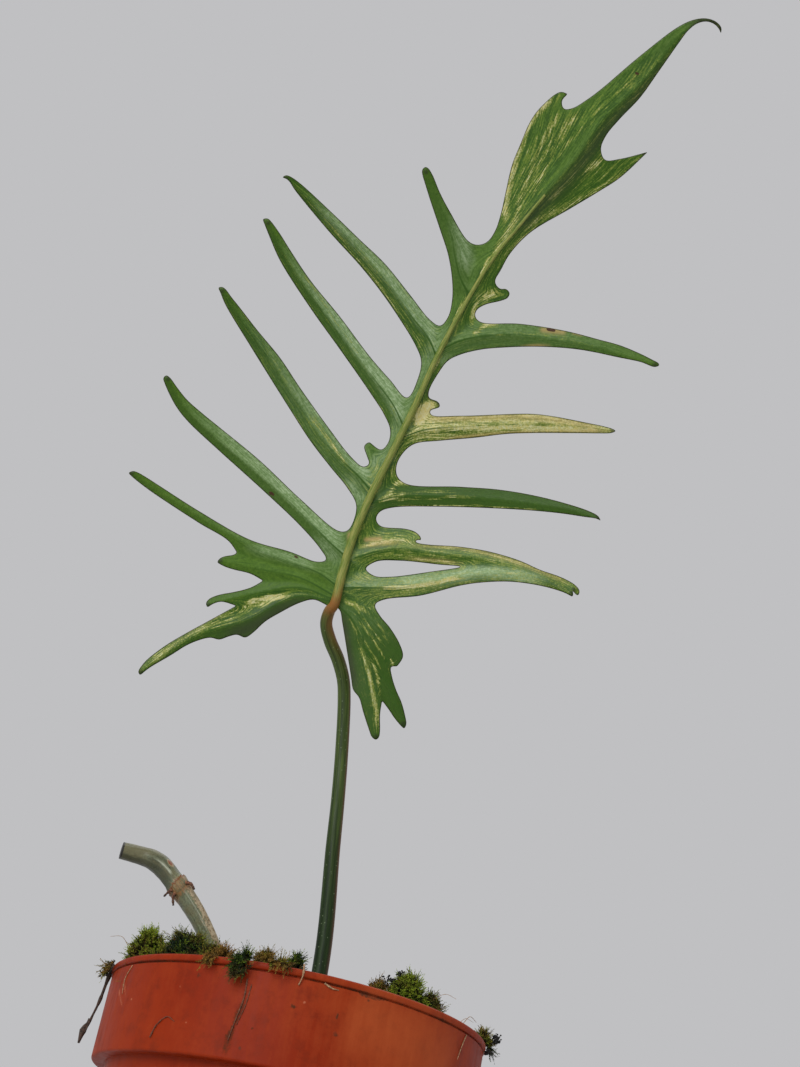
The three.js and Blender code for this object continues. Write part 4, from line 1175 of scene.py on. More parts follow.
@dataclass(frozen=True)
class LeafBlade:
    """The blade: one thin sheet with both faces and a closed margin. Sizes in mm."""

    drawing: LeafDrawing
    thickness: float = 0.7
    margin_step: float = 0.55
    fill_step: float = 0.72
    vein_gap: float = 0.4
    ripple: float = 0.12
    ripple_length: float = 26.0
    crease_reach: float = 26.0
    midrib_crease: float = 0.2
    sheen_fade: Pair = (0.94, 0.49)
    lanes: float = 7.0
    fan_lanes: float = 55.0
    fan_start: float = 137.0
    fan_blend: Pair = (8.0, 24.0)

    def plane_points(self) -> tuple[Array, list, int]:
        """The drawing's points.

        Returns:
            The points, the rings of margin as lists of point numbers, and how many points lie on margins.
        """
        outline = self.drawing.outline(self.margin_step)
        slit = self.drawing.slit(self.margin_step)
        edge = np.vstack([outline, slit])
        rings = [list(range(len(outline))), list(range(len(outline), len(edge)))]

        def within(points: Array) -> Array:
            """The points that lie on the blade and clear of its margin."""
            points = points[is_inside(points, outline) & ~is_inside(points, slit)]
            return points[gaps_to(edge, points) > self.vein_gap]

        lines = self.apart(within(np.vstack(self.drawing.veins(self.margin_step))), self.vein_gap * 0.8)
        low, high = outline.min(0), outline.max(0)
        rows = []
        for i, y in enumerate(np.arange(low[1], high[1], self.fill_step * math.sqrt(0.75))):
            x = np.arange(low[0] + (i % 2) * self.fill_step / 2, high[0], self.fill_step)
            rows.append(np.column_stack([x, np.full(len(x), y)]))
        fill = within(np.vstack(rows))
        fill = fill[gaps_to(lines, fill) > self.vein_gap]
        return np.vstack([edge, lines, fill]), rings, len(edge)

    @staticmethod
    def apart(points: Array, gap: float) -> Array:
        """Leaves out points that lie too close to an earlier one.

        Args:
            points: The points, one row each.
            gap: The smallest distance between two.

        Returns:
            The points that are kept.
        """
        cells: dict[tuple[int, int], list] = {}
        kept = []
        for point in points:
            column, row = int(point[0] // gap), int(point[1] // gap)
            around = [
                other
                for i in (-1, 0, 1)
                for j in (-1, 0, 1)
                for other in cells.get((column + i, row + j), ())
            ]
            if all(math.hypot(*(point - other)) > gap for other in around):
                cells.setdefault((column, row), []).append(point)
                kept.append(point)
        return np.array(kept)

    def surface(self) -> Surface:
        """The blade's surface with the marks that its finish reads.

        Returns:
            Its surface.
        """
        points, rings, edge_count = self.plane_points()
        edges = [(ring[i], ring[(i + 1) % len(ring)]) for ring in rings for i in range(len(ring))]
        result = delaunay_2d_cdt([Vector(point) for point in points], edges, [], 0, 1e-6)
        plane = np.array([tuple(point) for point in result[0]])
        faces = np.array(result[2])
        middles = plane[faces].mean(1)
        outline, slit = (plane[ring] for ring in rings)
        doubtful = np.all(faces < edge_count, axis=1)
        kept = ~doubtful
        kept[doubtful] = is_inside(middles[doubtful], outline) & ~is_inside(middles[doubtful], slit)
        faces = faces[kept]
        a, b, c = (plane[faces[:, i]] for i in range(3))
        turned = (b - a)[:, 0] * (c - a)[:, 1] < (b - a)[:, 1] * (c - a)[:, 0]
        faces[turned] = faces[turned][:, ::-1]
        reading = self.drawing.read(plane)
        lift = self.drawing.relief(plane, reading) + self.ripple * waves(plane, self.ripple_length, 5)
        under = self.drawing.place(plane, lift + self.thickness / 2)
        upper = self.drawing.place(plane, lift - self.thickness / 2)
        count = len(plane)
        directed = np.vstack([faces[:, [0, 1]], faces[:, [1, 2]], faces[:, [2, 0]]])
        present = {(int(i), int(j)) for i, j in directed}
        border = sorted((i, j) for i, j in present if (j, i) not in present)
        sides = [[j, i, count + i, count + j] for i, j in border]
        everything = faces.tolist() + (faces[:, ::-1] + count).tolist() + sides
        surface = Surface(np.vstack([under, upper]), everything)
        marks = self.marks(plane, reading, (outline, slit))
        both_faces = {name: np.tile(values, 2) for name, values in marks.items()}
        return surface.marked(under=np.repeat([1.0, 0.0], count), **both_faces)

    def marks(self, plane: Array, reading: VeinReading, rings: Sequence[Array]) -> dict[str, Array]:
        """The numbers that the finish reads.

        Args:
            plane: The drawing's points in mm.
            reading: What the veins say about them.
            rings: The margins.

        Returns:
            The marks by name, one value for each point.
        """
        midrib, *others = self.drawing.veins(self.drawing.vein_step)
        lengths = np.array([line_length(line) for line in (midrib, *others)])
        on_midrib = reading.vein == 0
        share_out = np.where(on_midrib, 0, reading.out / lengths[reading.vein.astype(int)])
        # The painted sheen fades towards the tips of the lobes.
        reading.silver *= ramp(share_out, *self.sheen_fade)
        marks = painted(LEAF_STROKES, plane, LEAF_UNIT)
        for name in ("silver", "deep", "cream"):
            marks[name] = np.maximum(marks.get(name, 0.0), getattr(reading, name))
        fine = [ring + (np.roll(ring, -1, axis=0) - ring) * i / 4 for ring in rings for i in range(4)]
        rim = gaps_to(np.vstack(fine), plane)
        ahead = np.where(on_midrib, reading.along - self.fan_start, 0)
        lane = self.lanes * reading.distance / (reading.distance + rim + 1e-6)
        fan_lane = self.fan_lanes * reading.distance / np.maximum(ahead, 5.0)
        share = ramp(ahead, *self.fan_blend)
        return marks | {
            "along": reading.along,
            "lane": lane + (fan_lane - lane) * share**2 * (3 - 2 * share),
            "half": (nearest_on(midrib, plane)[2] > 0).astype(float),
            "distance": reading.distance,
            # crease sets how dark the vein lines are painted, partly as shade in the creases.
            "crease": np.where(on_midrib, self.midrib_crease, hill(reading.out, self.crease_reach)),
            "rim": rim,
            "tip": gaps_to(self.drawing.tips(), plane),
        }

    def build(self, effects: Effects) -> None:
        """Makes the piece."""
        self.surface().piece("leaf_blade", BladeSkin(effects).material(), "leaf", ["leaf"])


# Centre line of the petiole in the pot's frame with its radius, from the soil to the blade.
PETIOLE = (
    (5.5, 8.0, 78.0, 2.9), (5.0, 7.5, 104.0, 2.9), (4.0, 6.5, 140.0, 2.9), (0.0, 4.0, 174.0, 2.7),
    (-2.0, 2.5, 192.5, 2.55), (-4.5, 1.0, 211.5, 2.5), (-7.7, -2.0, 230.5, 2.5), (-9.6, -4.0, 237.5, 2.5),
    (-13.2, -7.0, 244.0, 2.55), (-17.8, -11.0, 249.5, 2.5), (-20.5, -15.5, 254.0, 2.35),
    (-20.2, -19.5, 257.5, 2.2),
)
MIDRIB_RADII = (1.9, 1.65, 1.6, 1.5, 1.4, 1.25, 1.05, 0.85, 0.7, 0.6, 0.5)


@dataclass(frozen=True)
class StalkSkin:
    """Finish of petiole and midrib: dark green below, orange-brown at the joint, olive up the blade."""

    effects: Effects
    dark: Colour = (18, 34, 10)
    mid: Colour = (38, 58, 20)
    high_dark: Colour = (40, 56, 22)
    high_mid: Colour = (78, 94, 42)
    edge: Colour = (96, 58, 30)
    joint: Colour = (138, 92, 44)
    olive: Colour = (144, 144, 76)
    green: Colour = (94, 116, 44)
    fleck: Colour = (128, 144, 108)
    lighter_over: Pair = (60.0, 150.0)
    roughness: Pair = (0.38, 0.52)
    gloss: float = 0.2

    def material(self) -> Material:
        """Builds the material.

        Returns:
            The material.
        """
        material, bench, shader = new_skin("leaf_stalk")
        along = bench.mark("along")
        streaks = bench.group(
            self.effects.streaks,
            Along=along,
            Across=bench.mark("round_x"),
            Seed=bench.times(bench.mark("round_y"), 0.4),
            Broad_Width=1.1,
        )
        fine = streaks.outputs["Fine"]
        broad = bench.rise(streaks.outputs["Broad"], *EVEN)
        low = bench.blend(broad, self.dark, self.mid)
        high = bench.blend(broad, self.high_dark, self.high_mid)
        body = bench.mix(bench.rise(along, *self.lighter_over), low, high)
        warm = bench.times(bench.mark("warm"), bench.rise(fine, 0.25, 0.6, 0.6, 1.0))
        body = bench.tint(warm, body, self.edge)
        spots = bench.mask(self.effects.flecks, Spacing=1.3, Size=0.16, Share=0.45)
        body = bench.tint(bench.times(spots, 0.55), body, self.fleck)
        rib = bench.blend(bench.rise(fine, *EVEN), self.green, self.olive)
        colour = bench.mix(bench.mark("blade_share"), body, rib)
        joint = bench.times(bench.mark("joint"), bench.rise(fine, 0.25, 0.55, 0.75, 1.0))
        bench.fill(
            shader,
            Base_Color=bench.tint(joint, colour, self.joint),
            Roughness=bench.rise(fine, *EVEN, *self.roughness),
            Normal=bench.bump(fine, 0.3, 0.12 * MM),
            Specular_IOR_Level=self.gloss,
        )
        return material


@dataclass(frozen=True)
class LeafStalk:
    """Petiole and midrib as one tapering stalk. Sizes in mm."""

    drawing: LeafDrawing
    midrib_lift: float = 0.5
    step: float = 0.8
    sides: int = 24
    joint_reach: float = 16.0
    collar_reach: float = 5.0
    blade_from: Pair = (-2.0, 4.0)
    warm_towards: Triple = (0.95, -0.1, 0.15)
    warm_over: Pair = (0.72, 0.97)
    orange_towards: Triple = (0.8, -0.3, 0.5)

    def surface(self) -> Surface:
        """The stalk's surface with its marks.

        Returns:
            Its surface.
        """
        rib = np.array(MIDRIB.points[: len(MIDRIB_RADII)]) * LEAF_UNIT
        radii = np.array(MIDRIB_RADII)
        lift = self.drawing.relief(rib, self.drawing.read(rib)) + self.midrib_lift * radii
        places = self.drawing.place(rib, lift)
        curve = smooth_curve(np.vstack([np.array(PETIOLE), np.column_stack([places, radii])]), self.step)
        centres = curve[:, :3]
        surface = tube(centres, curve[:, 3], self.sides)
        past_joint = surface.marks["along"] - np.linalg.norm(centres - places[0], axis=1).argmin() * self.step
        blade = ramp(past_joint, *self.blade_from)
        middles = np.vstack([np.repeat(centres, self.sides, axis=0), centres[0], centres[-1]])
        outward = unit(surface.points - middles + 1e-9)
        warm = ramp(facing(outward, self.warm_towards), *self.warm_over)
        orange = np.where(past_joint < 0, 1.0, 2.2) * past_joint / self.joint_reach
        front = np.clip(0.35 + 0.9 * facing(outward, self.orange_towards), 0, 1)
        front = np.maximum(front, hill(past_joint, self.collar_reach))
        return surface.marked(blade_share=blade, warm=warm * (1 - blade), joint=hill(orange, 1.0) * front)

    def build(self, effects: Effects) -> None:
        """Makes the piece."""
        self.surface().piece("leaf_stalk", StalkSkin(effects).material(), "leaf", ["leaf"])


# The old stem

OLD_STEM = (
    (-15.0, 5.0, 84.0, 3.2), (-20.0, 4.0, 105.0, 3.2), (-28.0, 3.0, 120.5, 3.2), (-36.9, 2.0, 134.0, 3.2),
    (-41.1, 1.0, 139.0, 3.2), (-44.8, 0.5, 142.7, 3.4), (-48.3, 0.0, 145.9, 3.55), (-51.3, -1.0, 148.2, 3.95),
    (-53.2, -1.3, 149.7, 3.6), (-58.5, -2.0, 153.6, 3.65), (-62.3, -3.0, 154.9, 3.5),
    (-66.2, -3.5, 155.2, 3.2), (-73.3, -5.0, 155.2, 2.95),
)
ROOT_STUBS = (
    ((-49.5, -3.0, 149.0), (-46.6, -4.2, 149.0), (-44.8, -4.6, 147.2), 0.75),
    ((-51.5, -2.5, 147.0), (-53.2, -4.8, 144.5), (-54.3, -6.0, 142.3), 0.6),
    ((-50.8, -2.0, 146.0), (-51.4, -4.0, 143.4), (-50.5, -4.5, 140.3), 0.65),
    ((-50.0, 1.5, 148.0), (-50.6, 4.0, 147.2), (-50.5, 5.5, 145.0), 0.7),
)


@dataclass(frozen=True)
class StemSkin:
    """Finish of the old stem: grey-green with pores and stains, painted shade below, a painted highlight
    streak, a dry stripe, papery sheath, scar and cut.
    """

    effects: Effects
    paper: Colour = (162, 120, 78)
    rust: Colour = (110, 62, 16)
    # Dark green of the pores and of the painted shade on the under side.
    edge: Colour = (48, 54, 34)
    peat: Colour = (50, 44, 22)
    scar_border: Colour = (168, 140, 104)
    green: Colour = (90, 98, 70)
    pale: Colour = (136, 144, 112)
    olive: Colour = (102, 96, 64)
    # Colour of the painted highlight streak.
    bloom: Colour = (206, 210, 188)
    dry: Colour = (122, 96, 62)
    dry_pale: Colour = (176, 160, 130)
    scar: Colour = (120, 58, 10)
    cut: Colour = (28, 26, 20)
    speck: Colour = (58, 44, 24)
    roughness: float = 0.34
    dry_roughness: float = 0.8

    def living(self, bench: Bench, broad: Socket, grain: Socket) -> Socket:
        """The smooth skin with its pores, stains, worn patches, painted shade on its under side and a painted
        highlight streak.

        Args:
            bench: The bench on the material's nodes.
            broad: Broad streaks along the stem.
            grain: Fine streaks as a push up or down.

        Returns:
            The colour.
        """
        place = bench.place()
        colour = bench.blend(bench.rise(broad, *EVEN), self.green, self.pale)
        spots = bench.mask(self.effects.flecks, Spacing=1.1, Size=0.22, Share=0.5)
        colour = bench.tint(bench.times(spots, 0.65), colour, self.speck)
        pores = bench.noise(place, 1.7 / MM, 3.0, 0.7)
        colour = bench.tint(bench.rise(pores, 0.46, 0.62, 0.0, 0.5), colour, self.edge)
        stains = bench.noise(place, 0.7 / MM, 4.0, 0.7)
        colour = bench.tint(bench.rise(stains, 0.5, 0.7, 0.0, 0.55), colour, self.peat)
        colour = bench.tint(bench.times(bench.mark("upper"), 0.42), colour, self.peat)
        patches = bench.noise(place, 0.25 / MM, 4.0, 0.6)
        worn = bench.rise(bench.sum(patches, bench.times(bench.mark("aged"), 0.2)), 0.42, 0.68)
        colour = bench.tint(bench.times(worn, 0.7), colour, self.olive)
        # Painted shade on the side that faces down.
        shaded = bench.rise(bench.sum(bench.mark("below"), bench.swing(patches, 1.2)), 0.25, 0.65)
        colour = bench.tint(bench.times(shaded, 0.62), colour, self.edge)
        # Painted highlight: a pale streak where the light would glint.
        shine = bench.rise(bench.sum(bench.mark("bloom"), bench.times(grain, 0.8)), 0.2, 1.1)
        return bench.tint(bench.times(shine, 0.7), colour, self.bloom)

    def material(self) -> Material:
        """Builds the material.

        Returns:
            The material.
        """
        material, bench, shader = new_skin("old_stem")
        streaks = bench.group(
            self.effects.streaks,
            Along=bench.mark("along"),
            Across=bench.mark("round_x"),
            Seed=bench.times(bench.mark("round_y"), 0.4),
            Broad_Width=1.4,
        )
        broad, fine = streaks.outputs["Broad"], streaks.outputs["Fine"]
        grain = bench.swing(fine, 1.6)
        crumble = bench.noise(bench.place(), 0.9 / MM, 4.0, 0.75)
        stripe = bench.mark("dry")
        dry = bench.rise(bench.sum(stripe, grain, bench.swing(crumble, 1.6)), 0.3, 0.6)
        dry = bench.times(dry, bench.rise(stripe, 0.02, 0.15))
        husk = bench.blend(bench.rise(crumble, 0.36, 0.6), self.dry, self.dry_pale)
        colour = bench.mix(dry, self.living(bench, broad, grain), husk)
        crumbs = bench.mask(self.effects.flecks, Spacing=0.8, Size=0.26, Share=0.6)
        colour = bench.tint(bench.times(bench.times(crumbs, dry), 0.6), colour, self.speck)
        paper = bench.rise(bench.sum(bench.mark("paper"), grain), 0.25, 0.8)
        colour = bench.tint(bench.times(paper, 0.9), colour, self.paper)
        scales = bench.times(paper, bench.rise(crumble, 0.5, 0.62, 0.0, 0.6))
        colour = bench.tint(scales, colour, self.rust)
        rust = bench.rise(bench.sum(bench.mark("rust"), grain), 0.3, 0.8)
        colour = bench.tint(bench.times(rust, 0.9), colour, self.rust)
        scar = bench.sum(bench.mark("scar"), bench.times(grain, 0.5))
        colour = bench.tint(bench.times(bench.rise(scar, 0.2, 0.4), 0.7), colour, self.scar_border)
        colour = bench.tint(bench.rise(scar, 0.45, 0.6), colour, self.scar)
        cut = bench.rise(bench.sum(bench.mark("cut"), bench.times(grain, 0.4)), 0.35, 0.6)
        bench.fill(
            shader,
            Base_Color=bench.tint(cut, colour, self.cut),
            Roughness=bench.sum(bench.times(dry, self.dry_roughness - self.roughness), self.roughness),
            Normal=bench.bump(bench.sum(fine, broad), 0.5, 0.18 * MM),
        )
        return material


@dataclass(frozen=True)
class DryBark:
    """Finish of dead roots, fibres and crumbs: grained and matt, with a darker end."""

    name: str
    dark: Colour
    light: Colour
    grain_mm: float = 0.6
    end: Colour = (30, 26, 20)
    roughness: float = 0.85

    def material(self) -> Material:
        """Builds the material.

        Returns:
            The material.
        """
        material, bench, shader = new_skin(self.name)
        grain = bench.noise(bench.place(), 1 / (self.grain_mm * MM), 4.0, 0.65)
        colour = bench.blend(bench.rise(grain, *MIDDLE), self.dark, self.light)
        bench.fill(
            shader,
            Base_Color=bench.tint(bench.times(bench.mark("end"), 0.85), colour, self.end),
            Roughness=self.roughness,
            Normal=bench.bump(grain, 0.6, 0.2 * MM),
        )
        return material


@dataclass(frozen=True)
class OldStem:
    """The cut length of old stem with its node ring, papery sheath and dead roots. Sizes in mm.

    The directions are those in which the stem is dry, sheathed, given painted shade, and given a painted
    highlight. Each row of the sheath gives its share of the sheath's length, how far it stands off the stem,
    and how rusty it is.
    """

    step: float = 0.6
    sides: int = 36
    node_at: Triple = (-51.3, -1.0, 148.2)
    scar_at: Triple = (-55.3, -4.6, 155.0)
    scar_reach: float = 1.9
    scar_along: Triple = (-0.83, -0.1, 0.55)
    wrinkle: float = 0.07
    node_wrinkle: float = 0.05
    hollow: float = 0.9
    dryness: float = 0.68
    stripe_towards: Triple = (0.9, -0.35, 0.15)
    sheath_towards: Triple = (0.3, -0.9, 0.2)
    sheath_lean: float = 2.2
    sheath_length: float = 4.5
    sheath_columns: int = 120
    sheath_fray: float = 0.3
    # Where the painted shade and the painted highlight streak fall.
    dark_towards: Triple = (-0.45, -0.35, -0.8)
    shine_towards: Triple = (0.3, -0.93, -0.08)
    shine_width: float = 0.17
    sheath_rows: tuple[Triple, ...] = (
        (0.0, -0.2, 0.0), (0.15, 0.06, 0.0), (0.45, 0.14, 0.05), (0.75, 0.22, 0.2), (0.92, 0.34, 0.8),
        (1.0, 0.42, 1.0), (1.0, 0.26, 1.0), (0.9, 0.1, 1.0), (0.7, -0.2, 1.0),
    )

    def line(self) -> Array:
        """The centre line with its radius, at even steps."""
        return smooth_curve(np.array(OLD_STEM), self.step)

    def node_index(self, line: Array) -> int:
        """The point of the centre line that is nearest to the node."""
        return int(np.linalg.norm(line[:, :3] - self.node_at, axis=1).argmin())

    def surface(self) -> Surface:
        """The stem's surface with its marks, wrinkled near the node and hollowed at the cut.

        Returns:
            Its surface.
        """
        line = self.line()
        node = self.node_index(line) * self.step
        along = np.repeat(np.arange(len(line)) * self.step, self.sides)
        turn = np.tile(turns(self.sides), len(line))
        ridges = waves(np.column_stack([along * 0.35, np.cos(turn) * 3, np.sin(turn) * 3]), 2.4, 3)
        depth = self.wrinkle + self.node_wrinkle * hill(along - node, 3.0)
        radii = np.repeat(line[:, 3], self.sides) + ridges * depth
        surface = tube(line[:, :3], radii.reshape(len(line), self.sides), self.sides)
        surface.marked(**self.marks(surface, line), scar=self.scar(surface.points))
        surface.points[-1] -= unit(line[-1, :3] - line[-2, :3]) * self.hollow
        return surface

    def marks(self, surface: Surface, line: Array) -> dict[str, Array]:
        """The numbers that the finish reads.

        Args:
            surface: The stem's surface.
            line: The centre line with its radius.

        Returns:
            The marks by name, one value for each point.
        """
        centre = np.vstack([np.repeat(line[:, :3], self.sides, axis=0), line[0, :3], line[-1, :3]])
        outward = unit(surface.points - centre + 1e-9)
        place = surface.marks["along"]
        past_node = place - self.node_index(line) * self.step
        past_sheath = past_node - self.sheath_lean * facing(outward, self.sheath_towards)
        # Painted highlight: a narrow streak along the side that faces shine_towards.
        towards = facing(outward, self.shine_towards)[:-2].reshape(-1, self.sides)
        off_line = np.arccos(np.clip(towards / towards.max(1, keepdims=True), -1, 1))
        bloom = np.append(hill(off_line, self.shine_width), (0, 0))
        bloom *= ramp(past_node, -24, -16) * np.clip(past_sheath**2 / 9, 0, 1)
        bloom *= ramp(past_node, 15, 9) * np.where(past_sheath < 0, 0.6, 1.0)
        stripe = ramp(facing(outward, self.stripe_towards), 0.4, 0.8) * ramp(past_node, 2, -1)
        length = (len(line) - 1) * self.step
        cut = ramp(place, length - self.hollow, length)
        cut[-1] = 1.0
        return {
            "dry": self.dryness * stripe,
            "paper": 0.8 * hill(past_sheath + 2.6, 3.0),
            # Painted shade on the side that faces down.
            "below": ramp(facing(outward, self.dark_towards), 0.45, 0.85) * ramp(past_sheath, -1.5, 0.5),
            "aged": ramp(past_node, 8, 16),
            "upper": ramp(past_sheath, 0.5, 3.5),
            "bloom": bloom,
            "cut": cut,
        }

    def scar(self, points: Array) -> Array:
        """How much each point lies in the old leaf scar.

        Args:
            points: The points in mm.

        Returns:
            A share for each point, 1 in the scar's middle.
        """
        gap = points - self.scar_at
        lengthwise = facing(gap, self.scar_along)
        sideways = np.linalg.norm(gap - lengthwise[:, None] * unit(np.array(self.scar_along)), axis=1)
        girth = np.clip(self.scar_reach * (0.62 - 0.2 * lengthwise), 0.35, 1.2)
        return np.exp(-((lengthwise / self.scar_reach) ** 2 + (sideways / girth) ** 2))

    def sheath(self) -> Surface:
        """The papery sheath that hugs the stem below the node, with a thin ragged rim towards the cut end.

        Returns:
            Its surface.
        """
        line = self.line()
        along = np.arange(len(line)) * self.step
        node = self.node_index(line)
        ahead = unit(line[node + 1, :3] - line[node - 1, :3])
        across = unit(np.cross(ahead, (0.0, 0.0, 1.0)))
        turn = turns(self.sheath_columns)
        around = np.column_stack([np.cos(turn), np.sin(turn)])
        spokes = across * around[:, :1] + np.cross(ahead, across) * around[:, 1:]
        lean = self.sheath_lean * facing(spokes, self.sheath_towards)
        ragged = waves(around * 4, 3.0, 12)
        frayed = waves(around * 9, 3.0, 13)
        rim = self.sheath_fray * (ragged + frayed)
        rows, marks = [], []
        for share, off, rust in self.sheath_rows:
            place = along[node] + lean - self.sheath_length * (1 - share) + share * rim
            centre = np.column_stack([np.interp(place, along, line[:, axis]) for axis in range(3)])
            radius = np.interp(place, along, line[:, 3]) + off * (1 + self.sheath_fray * frayed)
            rows.append(centre + spokes * radius[:, None])
            marks.append([place, radius * around[:, 0], radius * around[:, 1], np.full(len(turn), rust)])
        surface = Surface(np.vstack(rows), grid_faces(len(rows), len(turn)))
        names = ("along", "round_x", "round_y", "rust")
        return surface.marked(**dict(zip(names, np.hstack(marks))), paper=0.55)

    def stubs(self) -> Surface:
        """The dead roots of the node, short and wrinkled.

        Returns:
            Their surface.
        """
        parts = []
        for i, (*points, radius) in enumerate(ROOT_STUBS):
            curve = smooth_curve(np.array(points), 0.3)
            wrinkles = 1 + 0.22 * waves(np.arange(len(curve))[:, None] * 0.3, 1.6, 20 + i)
            taper = np.linspace(1.0, 0.55, len(curve))
            stub = tube(curve, radius * wrinkles * taper, 10)
            along = stub.marks["along"]
            parts.append(stub.marked(end=ramp(along / along.max(), 0.375, 1.0)))
        return Surface.joined(parts)

    def build(self, effects: Effects) -> None:
        """Makes the stem, its torn sheath and its dead roots.

        Args:
            effects: The shared effects.
        """
        skin = StemSkin(effects).material()
        self.surface().piece("old_stem_body", skin, "old_stem", ["old_stem"], 60)
        self.sheath().piece("old_stem_sheath", skin, "old_stem", ["old_stem"])
        bark = DryBark("root_bark", (62, 34, 24), (146, 96, 66)).material()
        self.stubs().piece("old_stem_roots", bark, "old_stem", ["old_stem"])


# The pot

# Marks on the outside of the collar: mm round the rim from its front, to the right, and height in mm.
POT_STROKES = (
    # A paler band on the front right, partly dust film and partly painted sheen.
    Stroke(Tone.DUST_AND_SHEEN, 15.0, 1.0, ((14, 108), (30, 104), (44, 102), (58, 98))),
    Stroke(Tone.DIRT, 1.6, 0.85, ((-17.5, 109), (-17, 103), (-18, 97), (-19, 91), (-19, 87))),
    Stroke(Tone.DIRT, 3.4, 0.38, ((-19, 108), (-18, 98), (-20, 90))),
    Stroke(Tone.DIRT, 2.6, 0.5, ((-21, 112), (-20, 108))),
    Stroke(Tone.DIRT, 0.8, 0.6, ((-92, 112), (-89, 106), (-88, 98))),
    Stroke(Tone.DIRT, 0.8, 1.0, ((-33.7, 109), (-33.3, 108.6))),
    Stroke(Tone.DIRT, 0.8, 1.0, ((-2, 104), (-1.5, 103.8))),
    Stroke(Tone.DIRT, 0.7, 1.0, ((11.6, 104.8), (11.8, 103.6))),
    Stroke(Tone.DIRT, 1.0, 0.9, ((12.2, 99), (12.6, 98.7))),
    Stroke(Tone.DIRT, 0.6, 0.8, ((-12.5, 95.7), (-12.2, 95.5))),
    Stroke(Tone.DIRT, 4.0, 0.34, ((8, 96), (20, 98))),
    Stroke(Tone.DIRT, 0.7, 0.9, ((17.5, 112.2), (21, 111.9), (25, 112.2))),
    Stroke(Tone.DIRT, 3.0, 0.4, ((-34, 111.5), (-26, 110.5), (-22, 108.5))),
    Stroke(Tone.DIRT, 2.0, 0.35, ((52, 110), (60, 108), (68, 103))),
    Stroke(Tone.SCRATCH, 0.5, 0.5, ((-74, 107), (-68, 101), (-64, 98))),
    Stroke(Tone.SCRATCH, 0.5, 0.45, ((-70, 108), (-65, 102))),
)


@dataclass(frozen=True)
class PotPlastic:
    """Finish of the pot: satin terracotta-coloured plastic with a paler film of dust and painted sheen,
    scuffs, dried soil with painted shade under the lip, and specks.
    """

    effects: Effects
    body: Colour = (130, 33, 0)
    worn: Colour = (142, 43, 4)
    # Colour of the paler film of dust and painted sheen.
    dust_and_sheen_film: Colour = (180, 86, 42)
    blotch: Colour = (108, 32, 6)
    soil: Colour = (70, 44, 28)
    pale: Colour = (186, 112, 80)
    roughness: Pair = (0.45, 0.58)
    soiled_roughness: float = 0.35
    gloss: float = 0.13

    def material(self) -> Material:
        """Builds the material.

        Returns:
            The material.
        """
        material, bench, shader = new_skin("pot_plastic")
        place = bench.place()
        parts = bench.add("SeparateXYZ", {0: place}).outputs
        drawn = bench.vector(parts[0], parts[1], bench.times(parts[2], 0.12))
        vertical = bench.noise(drawn, 0.35 / MM, 4.0, 0.65)
        broad = bench.noise(place, 0.03 / MM, 3.0, 0.5)
        blotches = bench.noise(place, 0.16 / MM, 5.0, 0.7)
        colour = bench.blend(bench.rise(broad, *EVEN), self.body, self.worn)
        colour = bench.tint(bench.rise(blotches, 0.46, 0.72, 0.0, 0.55), colour, self.blotch)
        # A paler film, partly dust and partly painted sheen, strongest on the front right.
        haze = bench.times(bench.mark("haze"), 0.72)
        dust_and_sheen_film = bench.sum(haze, bench.swing(vertical, 0.6), bench.swing(blotches, -0.5))
        colour = bench.tint(bench.math("MULTIPLY", dust_and_sheen_film, 0.75, clamp=True), colour, self.dust_and_sheen_film)
        scratches = bench.rise(bench.sum(bench.mark("scratch"), bench.swing(vertical, 1.2)), 0.25, 0.5)
        colour = bench.tint(bench.times(scratches, 0.55), colour, self.pale)
        # Dirt marks, with the painted shade in the groove under the lip.
        dirt = bench.times(bench.mark("dirt"), 0.9)
        grime_and_shade = bench.mask(self.effects.grime_and_shade, Amount=dirt, Patch=9.0, Grain=0.8)
        colour = bench.tint(bench.times(grime_and_shade, 0.85), colour, self.soil)
        specks = bench.mask(self.effects.flecks, Spacing=7.5, Size=0.07, Share=0.55)
        colour = bench.tint(bench.times(specks, 0.7), colour, self.soil)
        pale = bench.mask(self.effects.flecks, Spacing=5.2, Size=0.05, Share=0.4)
        rough = bench.rise(vertical, *MIDDLE, *self.roughness)
        orange_peel = bench.bump(bench.noise(place, 0.55 / MM, 2.0), 0.12, 0.1 * MM)
        bench.fill(
            shader,
            Base_Color=bench.tint(bench.times(pale, 0.6), colour, self.pale),
            Roughness=bench.sum(rough, bench.times(grime_and_shade, self.soiled_roughness)),
            Normal=bench.bump(grime_and_shade, 0.5, 0.15 * MM, orange_peel),
            Specular_IOR_Level=self.gloss,
        )
        return material


